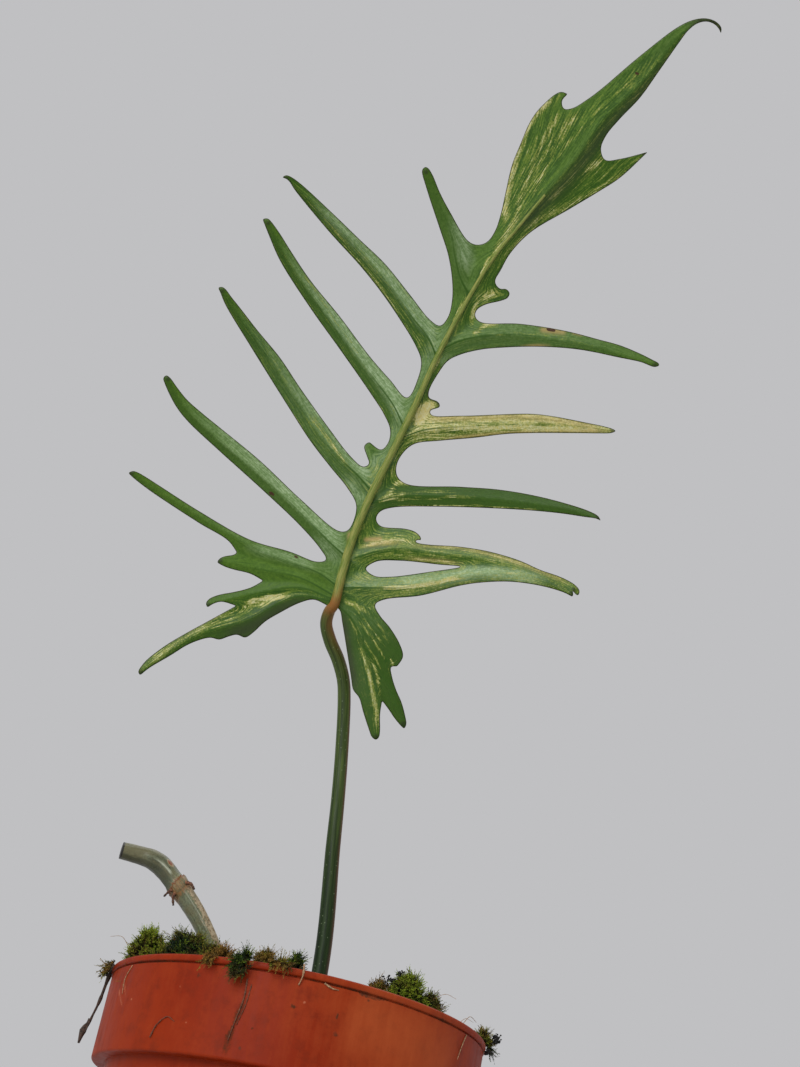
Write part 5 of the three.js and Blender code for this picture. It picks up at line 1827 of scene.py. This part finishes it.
@dataclass(frozen=True)
class NurseryPot:
    """The pot, turned round its axis. Sizes in mm."""

    height: float = 115.0
    rim_radius: float = 65.0
    lip_height: float = 2.2
    lip_groove: float = 0.55
    collar_top_radius: float = 64.4
    collar_foot_radius: float = 63.9
    collar_foot: float = 85.5
    collar_step: float = 4.6
    collar_rounding: float = 0.9
    base_radius: float = 46.0
    base_rounding: float = 1.0
    base_thickness: float = 2.4
    wall: float = 1.8
    sides: int = 512
    # A dark band in the groove under the lip: dirt and painted shade.
    groove_dirt_and_shade: float = 0.75
    groove_width: float = 0.45

    @staticmethod
    def arc(middle: Pair, size: float, start: float, end: float, count: int) -> list[Pair]:
        """A rounding of the wall's section.

        Args:
            middle: The radius and height of its centre.
            size: Its own radius.
            start: The angle where it starts.
            end: The angle where it ends.
            count: How many points it has.

        Returns:
            Radius and height of each point.
        """
        angles = np.linspace(start, end, count)
        return [(middle[0] + size * math.cos(angle), middle[1] + size * math.sin(angle)) for angle in angles]

    @staticmethod
    def straight(start: Pair, end: Pair, shares: Array) -> list[Pair]:
        """Points between two places of the section, at shares of the way."""
        run, climb = end[0] - start[0], end[1] - start[1]
        return [(start[0] + run * share, start[1] + climb * share) for share in shares]

    def profile(self) -> Array:
        """The wall's section as radius and height, from the middle of the base out, up, over and back in.

        Returns:
            Radius and height of each corner, one row each.
        """
        lip_foot = self.height - self.lip_height
        under_collar = self.collar_foot_radius - self.collar_step
        bead = self.wall / 2
        rounding = self.collar_rounding
        collar_corner = (self.collar_foot_radius - rounding, self.collar_foot + rounding)
        base_corner = (self.base_radius - self.base_rounding, self.base_rounding)
        body = ((self.base_radius, 1.2), (under_collar, self.collar_foot))
        groove_radius = self.collar_top_radius - self.lip_groove
        return np.array([
            (0.01, 0.0),
            *self.arc(base_corner, self.base_rounding, -math.pi / 2, 0, 6),
            *self.straight(*body, np.linspace(0.02, 1, 22)),
            *self.arc(collar_corner, rounding, -math.pi / 2, 0, 7),
            *self.straight(
                (self.collar_foot_radius, self.collar_foot + 1.2),
                (self.collar_top_radius, lip_foot - 0.6),
                np.linspace(0, 1, 44),
            ),
            (groove_radius, lip_foot - 0.35),
            (groove_radius, lip_foot - 0.05),
            (self.rim_radius - 0.25, lip_foot + 0.1),
            (self.rim_radius, lip_foot + 0.4),
            *self.arc((self.rim_radius - bead, self.height - bead), bead, 0, math.pi, 13),
            (self.rim_radius - self.wall - 0.5, self.height - 2.4),
            (self.collar_foot_radius - self.wall, self.collar_foot + self.wall),
            (under_collar - self.wall, self.collar_foot + self.wall - 0.4),
            (self.base_radius - self.wall, self.base_thickness),
            (0.01, self.base_thickness),
        ])

    def build(self, effects: Effects) -> None:
        """Makes the piece.

        Args:
            effects: The shared effects.
        """
        profile = self.profile()
        radius, height = np.repeat(profile, self.sides, axis=0).T
        angle = np.tile(turns(self.sides), len(profile))
        points = np.column_stack([radius * np.sin(angle), -radius * np.cos(angle), height])
        surface = Surface(points, grid_faces(len(profile), self.sides))
        wrapped = (angle + np.pi) % (2 * np.pi) - np.pi
        unrolled = np.column_stack([wrapped * self.collar_foot_radius, height])
        strokes = painted(POT_STROKES, unrolled, 1.0)
        # Dark band under the lip, partly dirt and partly painted shade in the groove.
        above_groove = height - (self.height - self.lip_height - 0.2)
        under_lip_dirt_and_shade = self.groove_dirt_and_shade * hill(above_groove, self.groove_width)
        strokes["dirt"] = np.maximum(strokes["dirt"], under_lip_dirt_and_shade)
        outside = radius > self.collar_foot_radius - 1
        surface.marked(**{name: values * outside for name, values in strokes.items()})
        surface.piece("nursery_pot", PotPlastic(effects).material(), "pot", ["pot"], 42)


# Soil and moss


@dataclass(frozen=True)
class SoilMix:
    """Finish of the potting mix: dark brown with lighter fibres and grains."""

    effects: Effects
    dark: Colour = (34, 23, 15)
    light: Colour = (92, 66, 44)
    fibre: Colour = (142, 110, 74)
    roughness: float = 0.95

    def material(self) -> Material:
        """Builds the material.

        Returns:
            The material.
        """
        material, bench, shader = new_skin("potting_mix")
        lumps = bench.noise(bench.place(), 0.5 / MM, 5.0, 0.65)
        colour = bench.blend(bench.rise(lumps, 0.35, 0.7), self.dark, self.light)
        fibres = bench.mask(self.effects.flecks, Spacing=2.2, Size=0.14, Share=0.3)
        bench.fill(
            shader,
            Base_Color=bench.tint(bench.times(fibres, 0.7), colour, self.fibre),
            Roughness=self.roughness,
            Normal=bench.bump(lumps, 0.9, 0.8 * MM),
        )
        return material


@dataclass(frozen=True)
class PottingSoil:
    """The soil in the pot with its loose crumbs. Sizes in mm."""

    level: float = 105.0
    lump: float = 0.8
    radius: float = 61.6
    floor: float = 88.0
    bed_columns: int = 260
    bed_rows: int = 92
    crumbs: int = 1500
    crumb_sides: int = 7
    smallest_crumb: float = 0.45
    crumb_spread: float = 1.2
    seed: int = 8

    def height(self, x: Array, y: Array) -> Array:
        """The height of the soil's top."""
        rough = np.sin(0.15 * x + 1) * np.cos(0.17 * y) + 0.5 * np.sin(0.2 * (x + y))
        return self.level + self.lump * rough

    def bed(self) -> Surface:
        """The top of the soil and the short side that reaches down inside the collar.

        Returns:
            Its surface.
        """
        columns = self.bed_columns
        radius = np.repeat(np.linspace(0.05, self.radius, self.bed_rows), columns)
        angle = np.tile(turns(columns), self.bed_rows)
        x, y = radius * np.cos(angle), radius * np.sin(angle)
        flat = np.column_stack([x, y])
        z = self.height(x, y) + 0.35 * waves(flat, 6.0, 2) + 0.22 * waves(flat, 1.9, 4)
        side = np.column_stack([x[-columns:], y[-columns:], np.full(columns, self.floor)])
        points = np.vstack([np.column_stack([x, y, z]), side])
        return Surface(points, grid_faces(self.bed_rows + 1, columns))

    def crumb(self, at: Array, size: float, random: np.random.Generator) -> Surface:
        """One crumb: a squashed, uneven ball of few faces.

        Args:
            at: Its middle.
            size: Its usual radius.
            random: Where its random draws come from.

        Returns:
            Its surface.
        """
        sides = self.crumb_sides
        turn = turns(sides)
        rows = []
        for lift, girth in ((-0.5, 0.62), (0.05, 1.0), (0.55, 0.66)):
            radius = size * girth * random.uniform(0.75, 1.2, sides)
            ring = (radius * np.cos(turn), radius * np.sin(turn), np.full(sides, size * lift))
            rows.append(np.column_stack(ring))
        rows.append(np.array([[0, 0, -0.7 * size], [0, 0, 0.8 * size]]))
        tilt = np.array(Matrix.Rotation(random.uniform(0, 3), 3, Vector(random.normal(size=3))))
        faces = grid_faces(3, sides)
        foot, top, last_row = 3 * sides, 3 * sides + 1, 2 * sides
        for side in range(sides):
            after = (side + 1) % sides
            faces += [[foot, after, side], [top, last_row + side, last_row + after]]
        stretch = random.uniform((0.7, 0.7, 0.6), (1.5, 1.1, 1.0))
        return Surface((np.vstack(rows) * stretch) @ tilt.T + at, faces)

    def litter(self) -> Surface:
        """Crumbs scattered over the soil, smaller ones more often.

        Returns:
            Their surface.
        """
        random = np.random.default_rng(self.seed)
        parts = []
        for _ in range(self.crumbs):
            radius = (self.radius - 1.5) * math.sqrt(random.uniform())
            angle = random.uniform(0, 2 * np.pi)
            x, y = radius * math.cos(angle), radius * math.sin(angle)
            size = self.smallest_crumb + self.crumb_spread * random.uniform() ** 3
            parts.append(self.crumb(np.array([x, y, self.height(x, y) + size * 0.4]), size, random))
        return Surface.joined(parts)

    def build(self, effects: Effects) -> None:
        """Makes the soil and its crumbs.

        Args:
            effects: The shared effects.
        """
        mix = SoilMix(effects).material()
        self.bed().piece("soil_bed", mix, "soil", ["soil"], 60)
        self.litter().piece("soil_crumbs", mix, "soil", ["soil"])


@dataclass(frozen=True)
class MossGreen:
    """Finish of the moss: bright tips, green, cool or straw-coloured shoots, dark feet and patches in painted
    shadow.
    """

    fresh: Colour = (140, 160, 42)
    green: Colour = (58, 84, 20)
    cool: Colour = (34, 52, 34)
    shadow: Colour = (18, 24, 8)
    straw: Colour = (148, 112, 50)
    roughness: float = 0.8
    gloss: float = 0.2

    def material(self) -> Material:
        """Builds the material.

        Returns:
            The material.
        """
        material, bench, shader = new_skin("moss")
        tip, hue = bench.mark("tip"), bench.mark("hue")
        green = bench.blend(bench.rise(hue, 0.02, 0.25), self.cool, self.green)
        green = bench.tint(bench.rise(hue, 0.2, 0.8), green, self.fresh)
        colour = bench.mix(bench.rise(tip, 0.25, 0.95), srgb(*self.shadow), green)
        straw = bench.blend(bench.rise(tip, 0.0, 0.8, 0.2, 1.0), self.shadow, self.straw)
        colour = bench.mix(bench.mark("dry"), colour, straw)
        grain = bench.noise(bench.place(), 0.45 / MM, 4.0, 0.65)
        bench.fill(
            shader,
            Base_Color=bench.tint(bench.rise(grain, 0.48, 0.68, 0.0, 0.7), colour, self.shadow),
            Roughness=self.roughness,
            Specular_IOR_Level=self.gloss,
        )
        return material


@dataclass(frozen=True)
class Hummock:
    """One mound of moss on the soil: centre, width and top in mm, how dry it is and how bright, 0 to 1."""

    at: Pair
    radius: float
    top: float
    dry: float = 0.1
    hue: float = 0.5


@dataclass(frozen=True)
class Drape:
    """Moss over the rim: degrees round it, half width and lowest point in mm, shoots, how dry, how bright."""

    angle_deg: float
    half_width: float
    low: float
    shoots: int
    dry: float = 0.3
    hue: float = 0.3


@dataclass
class Shoots:
    """Where shoots of moss stand and how they look, one row for each."""

    feet: Array
    leans: Array
    dry: Array
    hue: Array


@dataclass(frozen=True)
class MossClump:
    """A clump of moss made of many leafy shoots. Sizes in mm."""

    node: str
    hummocks: tuple[Hummock, ...]
    drapes: tuple[Drape, ...]
    seed: int
    soil: PottingSoil
    density: float = 15.0
    core_inset: float = 2.8
    shoot_inset: float = 2.6
    shoot_length: float = 3.5
    leaflets: int = 12
    leaflet_length: float = 1.25
    leaflet_width: float = 0.27
    widest_at: float = 0.42
    tuft: float = 5.5
    lumps: float = 1.1
    rim_height: float = 115.4
    rim_radius: float = 65.0
    wall_thickness: float = 2.9

    def mound(self, hummock: Hummock, inset: float, share: Array, angle: Array) -> Array:
        """Points on the dome of a hummock.

        Args:
            hummock: The hummock.
            inset: How far inside its surface the dome lies.
            share: How far out each point is, as a share of the radius.
            angle: The angle of each point round the middle.

        Returns:
            One row for each point.
        """
        floor = self.soil.level
        radius = (hummock.radius - inset) * share
        height = floor + (hummock.top - inset - floor) * np.maximum(1 - share**2.6, 0) ** 0.45
        x, y = hummock.at
        return np.column_stack([x + radius * np.cos(angle), y + radius * np.sin(angle), height])

    def cores(self) -> Surface:
        """The dark peaty bodies under the shoots, in the moss's painted shadow colour.

        Returns:
            Their surface.
        """
        parts = []
        columns, rows = 40, 14
        share = np.repeat(np.linspace(0.02, 1, rows), columns)
        angle = np.tile(turns(columns), rows)
        for i, hummock in enumerate(self.hummocks):
            points = self.mound(hummock, self.core_inset, share, angle)
            points[:, 2] += 0.9 * waves(points, 7.0, self.seed + i) * (1 - share)
            parts.append(Surface(self.inside_wall(points), grid_faces(rows, columns)))
        return Surface.joined(parts).marked(tip=0.1, hue=0.0, dry=0.25)

    def inside_wall(self, points: Array) -> Array:
        """Draws points below the rim's top inwards to the inner face of the pot's wall.

        Args:
            points: The points, in an array of any shape with x, y and z on its last axis.

        Returns:
            The same array, changed.
        """
        radius = np.hypot(points[..., 0], points[..., 1])
        limit = np.where(points[..., 2] < self.rim_height, self.rim_radius - self.wall_thickness, np.inf)
        points[..., :2] *= np.minimum(1, limit / radius)[..., None]
        return points

    def on_hummock(self, hummock: Hummock, random: np.random.Generator) -> Shoots:
        """Shoots that stand all over a hummock, in tufts.

        Args:
            hummock: The hummock.
            random: Where the random draws come from.

        Returns:
            The shoots.
        """
        height = hummock.top - self.soil.level
        count = int(self.density * math.pi * hummock.radius * (hummock.radius + 0.8 * height) / 10)
        share = np.sqrt(random.uniform(0, 1, count))
        angle = random.uniform(0, 2 * np.pi, count)
        feet = self.mound(hummock, self.shoot_inset, share, angle)
        feet[:, 2] += self.lumps * waves(feet[:, :2], self.tuft, self.seed + 5)
        feet = self.inside_wall(feet)
        out = np.column_stack([np.cos(angle) * share, np.sin(angle) * share, 1.15 - 0.75 * share])
        swirl = np.column_stack([waves(feet, self.tuft, self.seed + 6 + axis) for axis in range(3)])
        leans = unit(out + 0.6 * swirl + random.normal(0, 0.42, out.shape))
        dry = hummock.dry + random.normal(0, 0.16, count)
        return Shoots(feet, leans, dry, hummock.hue + random.normal(0, 0.28, count))

    def on_drape(self, drape: Drape, random: np.random.Generator) -> Shoots:
        """Shoots that hang over the rim.

        Args:
            drape: The drape.
            random: Where the random draws come from.

        Returns:
            The shoots.
        """
        count = drape.shoots
        spread = random.normal(0, drape.half_width / 1.6, count) / self.rim_radius
        angle = math.radians(drape.angle_deg) + spread
        drop = random.uniform(0, 1, count)
        radius = self.rim_radius + 0.2 + 0.9 * np.sqrt(drop)
        height = self.rim_height + 0.4 - (self.rim_height - drape.low) * drop
        feet = np.column_stack([radius * np.sin(angle), -radius * np.cos(angle), height])
        out = np.column_stack([np.sin(angle), -np.cos(angle), -0.9 + random.normal(0, 0.5, count)])
        leans = unit(out + random.normal(0, 0.35, out.shape))
        dry = drape.dry + random.normal(0, 0.2, count)
        return Shoots(feet, leans, dry, drape.hue + random.normal(0, 0.2, count))

    def all_shoots(self, random: np.random.Generator) -> Shoots:
        """The shoots of all hummocks, then of all drapes, greener and drier by turns.

        Args:
            random: Where the random draws come from.

        Returns:
            The shoots.
        """
        groups = [self.on_hummock(hummock, random) for hummock in self.hummocks]
        groups += [self.on_drape(drape, random) for drape in self.drapes]
        feet = np.concatenate([group.feet for group in groups])
        leans = np.concatenate([group.leans for group in groups])
        dry = np.clip(np.concatenate([group.dry for group in groups]), 0, 1)
        hue = np.clip(np.concatenate([group.hue for group in groups]), 0, 1)
        hue = np.clip(hue + 0.35 * waves(feet, 8.0, self.seed), 0, 1)
        dry = np.clip(dry + 0.3 * waves(feet, 9.0, self.seed + 1), 0, 1)
        return Shoots(feet, leans, dry, hue)

    def foliage(self) -> Surface:
        """All shoots: a thin bent stem each, with pointed leaflets in a spiral.

        Returns:
            Its surface.
        """
        random = np.random.default_rng(self.seed)
        shoots = self.all_shoots(random)
        count = len(shoots.feet)
        growth = 1 + 0.3 * waves(shoots.feet, 8.0, self.seed)
        length = (self.shoot_length * random.uniform(0.5, 1.15, count) * growth)[:, None, None]
        bend = random.normal(0, 0.5, (count, 1, 3)) + np.array([0, 0, -0.15])
        share = np.linspace(0.1, 1.0, self.leaflets)[None, :, None]
        spine, ahead = self.spine(shoots, length, bend, share)
        side = unit(np.cross(ahead, random.normal(size=(count, 1, 3))))
        other = np.cross(ahead, side)
        turn = np.arange(self.leaflets)[None, :, None] * GOLDEN_TURN + random.uniform(0, 6.3, (count, 1, 1))
        out = side * np.cos(turn) + other * np.sin(turn)
        uneven = random.uniform(0.7, 1.2, (count, self.leaflets, 1))
        blade = unit(out * (0.95 - 0.55 * share) + ahead * (0.45 + 0.5 * share))
        reach = blade * (self.leaflet_length * (1.05 - 0.5 * share) * uneven)
        width = np.cross(blade, ahead) * self.leaflet_width
        middle = spine + reach * self.widest_at
        corners = np.stack([spine, middle + width, spine + reach, middle - width], axis=2)
        within = np.hypot(shoots.feet[:, 0], shoots.feet[:, 1]) < self.rim_radius
        corners[within] = self.inside_wall(corners[within])
        tip = share + np.array([0.0, 0.075, 0.2, 0.075])
        leaves = self.sheet(corners, np.broadcast_to(tip, corners.shape[:3]), shoots)
        return Surface.joined([leaves, self.stems(shoots, length, bend)])

    @staticmethod
    def spine(shoots: Shoots, length: Array, bend: Array, share: Array) -> tuple[Array, Array]:
        """Places on the bent stems of shoots.

        Args:
            shoots: The shoots.
            length: How long each is.
            bend: How far and which way each bends.
            share: The places, as shares of the length.

        Returns:
            The places, and the direction of the stem at each.
        """
        lean = shoots.leans[:, None, :]
        places = shoots.feet[:, None, :] + length * (lean * share + bend * share**2 * 0.5)
        return places, unit(lean + bend * share)

    @staticmethod
    def sheet(corners: Array, tip: Array, shoots: Shoots) -> Surface:
        """Faces of four corners each, with the marks of their shoots.

        Args:
            corners: Corners by shoot, face and corner.
            tip: How near to the shoot's tip each corner is, 0 to 1.
            shoots: The shoots.

        Returns:
            The surface.
        """
        points = corners.reshape(-1, 3)
        faces = np.arange(len(points)).reshape(-1, 4).tolist()
        each = len(points) // len(shoots.feet)
        hue, dry = np.repeat(shoots.hue, each), np.repeat(shoots.dry, each)
        return Surface(points, faces).marked(tip=tip.ravel(), hue=hue, dry=dry)

    def stems(self, shoots: Shoots, length: Array, bend: Array) -> Surface:
        """The shoots' own stems, each a thin three-sided spike.

        Args:
            shoots: The shoots.
            length: How long each is.
            bend: How far and which way each bends.

        Returns:
            The surface.
        """
        spine, ahead = self.spine(shoots, length, bend, np.array([0.0, 0.5, 1.0])[None, :, None])
        side = unit(np.cross(ahead, np.array([0.3, 0.5, 0.8])))
        other = np.cross(ahead, side)
        girth = np.array([0.13, 0.1, 0.02])[None, :, None]
        rings = [spine + (side * math.cos(turn) + other * math.sin(turn)) * girth for turn in (0.0, 2.1, 4.2)]
        points = np.stack(rings, axis=2).reshape(-1, 3)
        count = len(shoots.feet)
        faces = (np.array(grid_faces(3, 3))[None] + 9 * np.arange(count)[:, None, None]).reshape(-1, 4)
        tip = np.tile(np.repeat([0.0, 0.4, 0.9], 3), count)
        hue, dry = np.repeat(shoots.hue, 9), np.repeat(shoots.dry, 9)
        return Surface(points, faces.tolist()).marked(tip=tip, hue=hue, dry=dry)

    def build(self, finish: Material) -> None:
        """Makes the clump as one piece."""
        clump = Surface.joined([self.cores(), self.foliage()])
        clump.piece(self.node + "_clump", finish, "moss", [self.node])


# Loose roots and litter at the rim


@dataclass(frozen=True)
class Strand:
    """A thin root or fibre: its path in mm, its radius and how knobbly it is."""

    points: tuple[Triple, ...]
    radius: float
    knobs: float = 0.15

    def surface(self, seed: int) -> Surface:
        """The strand as an uneven tube.

        Args:
            seed: The seed of its knobs.

        Returns:
            Its surface.
        """
        curve = smooth_curve(np.array(self.points), max(0.25, self.radius * 1.5))
        bumps = 1 + self.knobs * waves(np.arange(len(curve))[:, None] * 0.3, 2.2, seed)
        taper = np.linspace(1.0, 0.45, len(curve))
        return tube(curve, self.radius * np.maximum(bumps, 0.3) * taper, 6)


COLLAR_RADIUS = 64.2


def on_collar(*places: Triple) -> tuple[Triple, ...]:
    """Points just off the collar.

    Args:
        places: For each, mm round the rim from its front, height, and mm off the collar.

    Returns:
        The points in the pot's frame.
    """
    points = []
    for arc, height, off in places:
        turn, radius = arc / COLLAR_RADIUS, COLLAR_RADIUS + off
        points.append((radius * math.sin(turn), -radius * math.cos(turn), height))
    return tuple(points)


@dataclass(frozen=True)
class RimLitter:
    """Dead roots that hang over the rim, fibres that cling to the collar, and dark crumbs."""

    dark: tuple[Strand, ...] = (
        Strand(
            on_collar((-93, 116, 0.6), (-95, 111, 1.4), (-97, 104, 2.2), (-99, 99, 3.4), (-101, 94, 4.6)),
            0.7,
            0.45,
        ),
        Strand(on_collar((-101, 98.5, 4.0), (-102, 95, 5.4), (-101, 90.5, 5.6)), 1.0, 0.6),
    )
    brown: tuple[Strand, ...] = (
        Strand(on_collar((-17.3, 109.5, 0.2), (-17, 104, 0.2), (-18, 97.5, 0.2), (-19, 91, 0.2)), 0.24, 0.6),
        Strand(on_collar((-15.6, 108, 0.2), (-16, 102, 0.2), (-17.4, 96, 0.2)), 0.17, 0.5),
        Strand(
            on_collar((-46.5, 89.4, 0.2), (-45, 93.2, 0.2), (-41.5, 95.8, 0.2), (-38.3, 94.6, 0.2)), 0.2, 0.4
        ),
    )
    pale: tuple[Strand, ...] = (
        Strand(on_collar((-1.2, 116.4, 1.0), (-0.9, 113, 1.0), (-1.6, 110.2, 0.5)), 0.35, 0.5),
        Strand(on_collar((6, 112.4, 0.4), (8.5, 111.4, 0.5), (10.6, 111.4, 0.3)), 0.35, 0.3),
        Strand(on_collar((64, 112, 0.4), (62, 107.5, 0.3), (60.4, 103.6, 0.4)), 0.2, 0.3),
        Strand(((53.0, -31.0, 116.0), (55.5, -26.5, 119.6), (58.5, -21.0, 119.4)), 0.13, 0.2),
        Strand(((51.5, -32.0, 115.6), (54.0, -28.0, 118.4), (57.2, -23.0, 118.8)), 0.1, 0.2),
        Strand(((41.0, -40.0, 119.5), (45.0, -42.0, 121.6), (48.5, -42.0, 120.8)), 0.11, 0.2),
        Strand(((-60.0, -21.0, 120.5), (-62.5, -22.5, 122.4), (-66.0, -24.0, 121.4)), 0.11, 0.2),
        Strand(on_collar((-66, 112, 0.3), (-69, 108, 0.3), (-68, 103, 0.3)), 0.16, 0.2),
    )
    crumb_spots: tuple[tuple[Triple, float, int], ...] = (
        ((29.6, -44.5, 123.7), 1.2, 60),
        ((25.6, -47.0, 120.6), 2.2, 40),
        ((68.0, -5.0, 118.4), 1.6, 80),
        ((65.2, -10.0, 113.0), 0.9, 40),
        ((-66.5, -11.0, 112.0), 1.8, 14),
    )
    crumb_size: Pair = (0.2, 0.55)
    crumb_seed: int = 61
    strand_seed: int = 40

    def crumbs(self, soil: PottingSoil) -> Surface:
        """Dark crumbs of potting mix that stick to the moss and the rim.

        Args:
            soil: The soil that they come from.

        Returns:
            Their surface.
        """
        random = np.random.default_rng(self.crumb_seed)
        parts = []
        for centre, spread, count in self.crumb_spots:
            for _ in range(count):
                at = np.array(centre) + random.normal(0, spread / 2, 3)
                parts.append(soil.crumb(at, random.uniform(*self.crumb_size), random))
        return Surface.joined(parts)

    def build(self, soil: PottingSoil) -> None:
        """Makes the crumbs, the roots and the fibres, by colour.

        Args:
            soil: The soil that the crumbs come from.
        """
        black = DryBark("black_crumb", (12, 12, 10), (40, 38, 34), 0.4).material()
        self.crumbs(soil).piece("dark_crumbs", black, "soil")
        for name, strands, finish in (
            ("dark_roots", self.dark, DryBark("dark_root", (30, 22, 18), (84, 62, 48), 0.5)),
            ("brown_fibres", self.brown, DryBark("brown_fibre", (78, 40, 26), (120, 76, 52), 0.5)),
            ("pale_fibres", self.pale, DryBark("pale_fibre", (120, 84, 56), (186, 150, 112), 0.5)),
        ):
            parts = [strand.surface(self.strand_seed + i) for i, strand in enumerate(strands)]
            Surface.joined(parts).piece(name, finish.material(), "soil")


# Stage


@dataclass(frozen=True)
class Lamp:
    """A soft square light that faces a point. Places and size in metres, power in watts."""

    name: str
    at: Triple
    target: Triple
    size: float
    power: float

    def build(self) -> None:
        """Makes the light."""
        data = bpy.data.lights.new(self.name, "AREA")
        data.size = self.size
        data.energy = self.power
        lamp = bpy.data.objects.new(self.name, data)
        lamp.location = self.at
        lamp.rotation_mode = "QUATERNION"
        lamp.rotation_quaternion = (Vector(self.target) - Vector(self.at)).to_track_quat("-Z", "Y")
        bpy.context.scene.collection.objects.link(lamp)


@dataclass(frozen=True)
class Studio:
    """Camera at the photograph's angle, a plain pale floor and soft light. Sizes in metres."""

    camera_at: Triple = (0.0, -0.5, 0.02)
    pitch_deg: float = 30.0
    roll_deg: float = 12.0
    focal_px: float = 1400.0
    picture_height_px: float = 1067.0
    sensor_mm: float = 36.0
    clip: Pair = (0.01, 50.0)
    floor_radius: float = 4.0
    floor_sides: int = 96
    floor_dark: Colour = (206, 206, 207)
    floor_light: Colour = (214, 214, 214)
    floor_roughness: float = 0.7
    backdrop: Colour = (192, 192, 194)
    lamps: tuple[Lamp, ...] = (
        Lamp("key_light", (-0.75, -1.3, 0.8), (0.0, -0.06, 0.28), 0.9, 16.0),
        Lamp("top_light", (0.25, 0.35, 1.5), (0.0, -0.05, 0.2), 1.2, 5.0),
    )

    def camera(self) -> None:
        """Places the camera."""
        data = bpy.data.cameras.new("camera")
        data.sensor_width = self.sensor_mm
        data.lens = self.focal_px / self.picture_height_px * self.sensor_mm
        data.clip_start, data.clip_end = self.clip
        camera = bpy.data.objects.new("camera", data)
        pitch = Matrix.Rotation(math.radians(90 + self.pitch_deg), 4, "X")
        roll = Matrix.Rotation(math.radians(self.roll_deg), 4, "Z")
        camera.matrix_world = Matrix.Translation(self.camera_at) @ pitch @ roll
        bpy.context.scene.collection.objects.link(camera)
        bpy.context.scene.camera = camera

    def floor(self) -> None:
        """Adds the floor."""
        turn = turns(self.floor_sides)
        ring = np.column_stack([np.cos(turn), np.sin(turn), np.zeros(len(turn))]) * self.floor_radius
        mesh = bpy.data.meshes.new("floor")
        mesh.from_pydata(ring.tolist(), [], [list(range(len(turn)))])
        floor = bpy.data.objects.new("floor", mesh)
        material, bench, shader = new_skin("floor")
        grain = bench.noise(bench.place(), 3.0, 3.0)
        colour = bench.blend(grain, self.floor_dark, self.floor_light)
        bench.fill(shader, Base_Color=colour, Roughness=self.floor_roughness)
        mesh.materials.append(material)
        bpy.context.scene.collection.objects.link(floor)

    def build(self) -> None:
        """Makes the camera, the floor, the lights and the plain surroundings."""
        self.camera()
        self.floor()
        world = bpy.data.worlds.new("surroundings")
        world.use_nodes = True
        background = world.node_tree.nodes["Background"]
        background.inputs["Color"].default_value = srgb(*self.backdrop)
        bpy.context.scene.world = world
        bpy.context.scene.view_settings.view_transform = "Standard"
        for lamp in self.lamps:
            lamp.build()
        log.info("stage: camera, floor and %d lights", len(self.lamps))


def moss_clumps(soil: PottingSoil) -> tuple[MossClump, ...]:
    """The four clumps of moss, round the rim from the left.

    Args:
        soil: The soil that they grow on.

    Returns:
        The clumps.
    """
    left = (
        Hummock((-53.2, -21.5), 8.0, 126.4, 0.1, 0.95),
        Hummock((-46.5, -27.5), 7.5, 120.5, 0.25, 0.45),
        # This dome's low hue darkens it, partly as painted shade.
        Hummock((-39.3, -31.0), 9.5, 126.0, 0.12, 0.2),
        Hummock((-32.0, -35.0), 8.0, 123.0, 0.3, 0.4),
        Hummock((-27.5, -37.5), 7.5, 122.0, 0.9, 0.5),
    )
    front = (
        Hummock((-18.8, -57.0), 3.4, 118.6, 0.1, 0.0),
        Hummock((-13.0, -53.5), 5.8, 120.9, 0.6, 0.45),
        Hummock((-8.0, -54.5), 4.5, 120.0, 0.55, 0.4),
        Hummock((-3.9, -55.5), 4.2, 120.8, 0.12, 0.25),
    )
    front_drapes = (
        Drape(-18.2, 1.3, 110.4, 240, 0.0, 0.0),
        Drape(-7.5, 6.0, 115.0, 34, 0.85),
        Drape(-27.0, 1.5, 112.6, 26, 0.95),
    )
    right = (
        Hummock((22.6, -48.0), 6.4, 119.8, 0.6, 0.2),
        Hummock((32.2, -43.2), 8.2, 124.6, 0.05, 0.85),
        Hummock((40.5, -38.0), 6.2, 121.6, 0.35, 0.25),
    )
    rim = (Hummock((63.6, -6.5), 4.4, 121.0),)
    return (
        MossClump("moss_left", left, (Drape(-80.0, 5.0, 112.5, 60, 0.5),), 11, soil),
        MossClump("moss_front", front, front_drapes, 23, soil),
        MossClump("moss_right", right, (), 31, soil),
        MossClump("moss_rim", rim, (Drape(83.0, 1.6, 113.8, 22, 0.1, 0.0),), 47, soil),
    )


def main() -> None:
    """Builds the plant piece by piece."""
    logging.basicConfig(level=logging.INFO, format="%(name)s: %(message)s")
    Studio().build()
    effects = Effects()
    NurseryPot().build(effects)
    soil = PottingSoil()
    soil.build(effects)
    drawing = LeafDrawing()
    LeafBlade(drawing).build(effects)
    LeafStalk(drawing).build(effects)
    OldStem().build(effects)
    moss = MossGreen().material()
    for clump in moss_clumps(soil):
        clump.build(moss)
    RimLitter().build(soil)


if __name__ == "__main__":
    main()
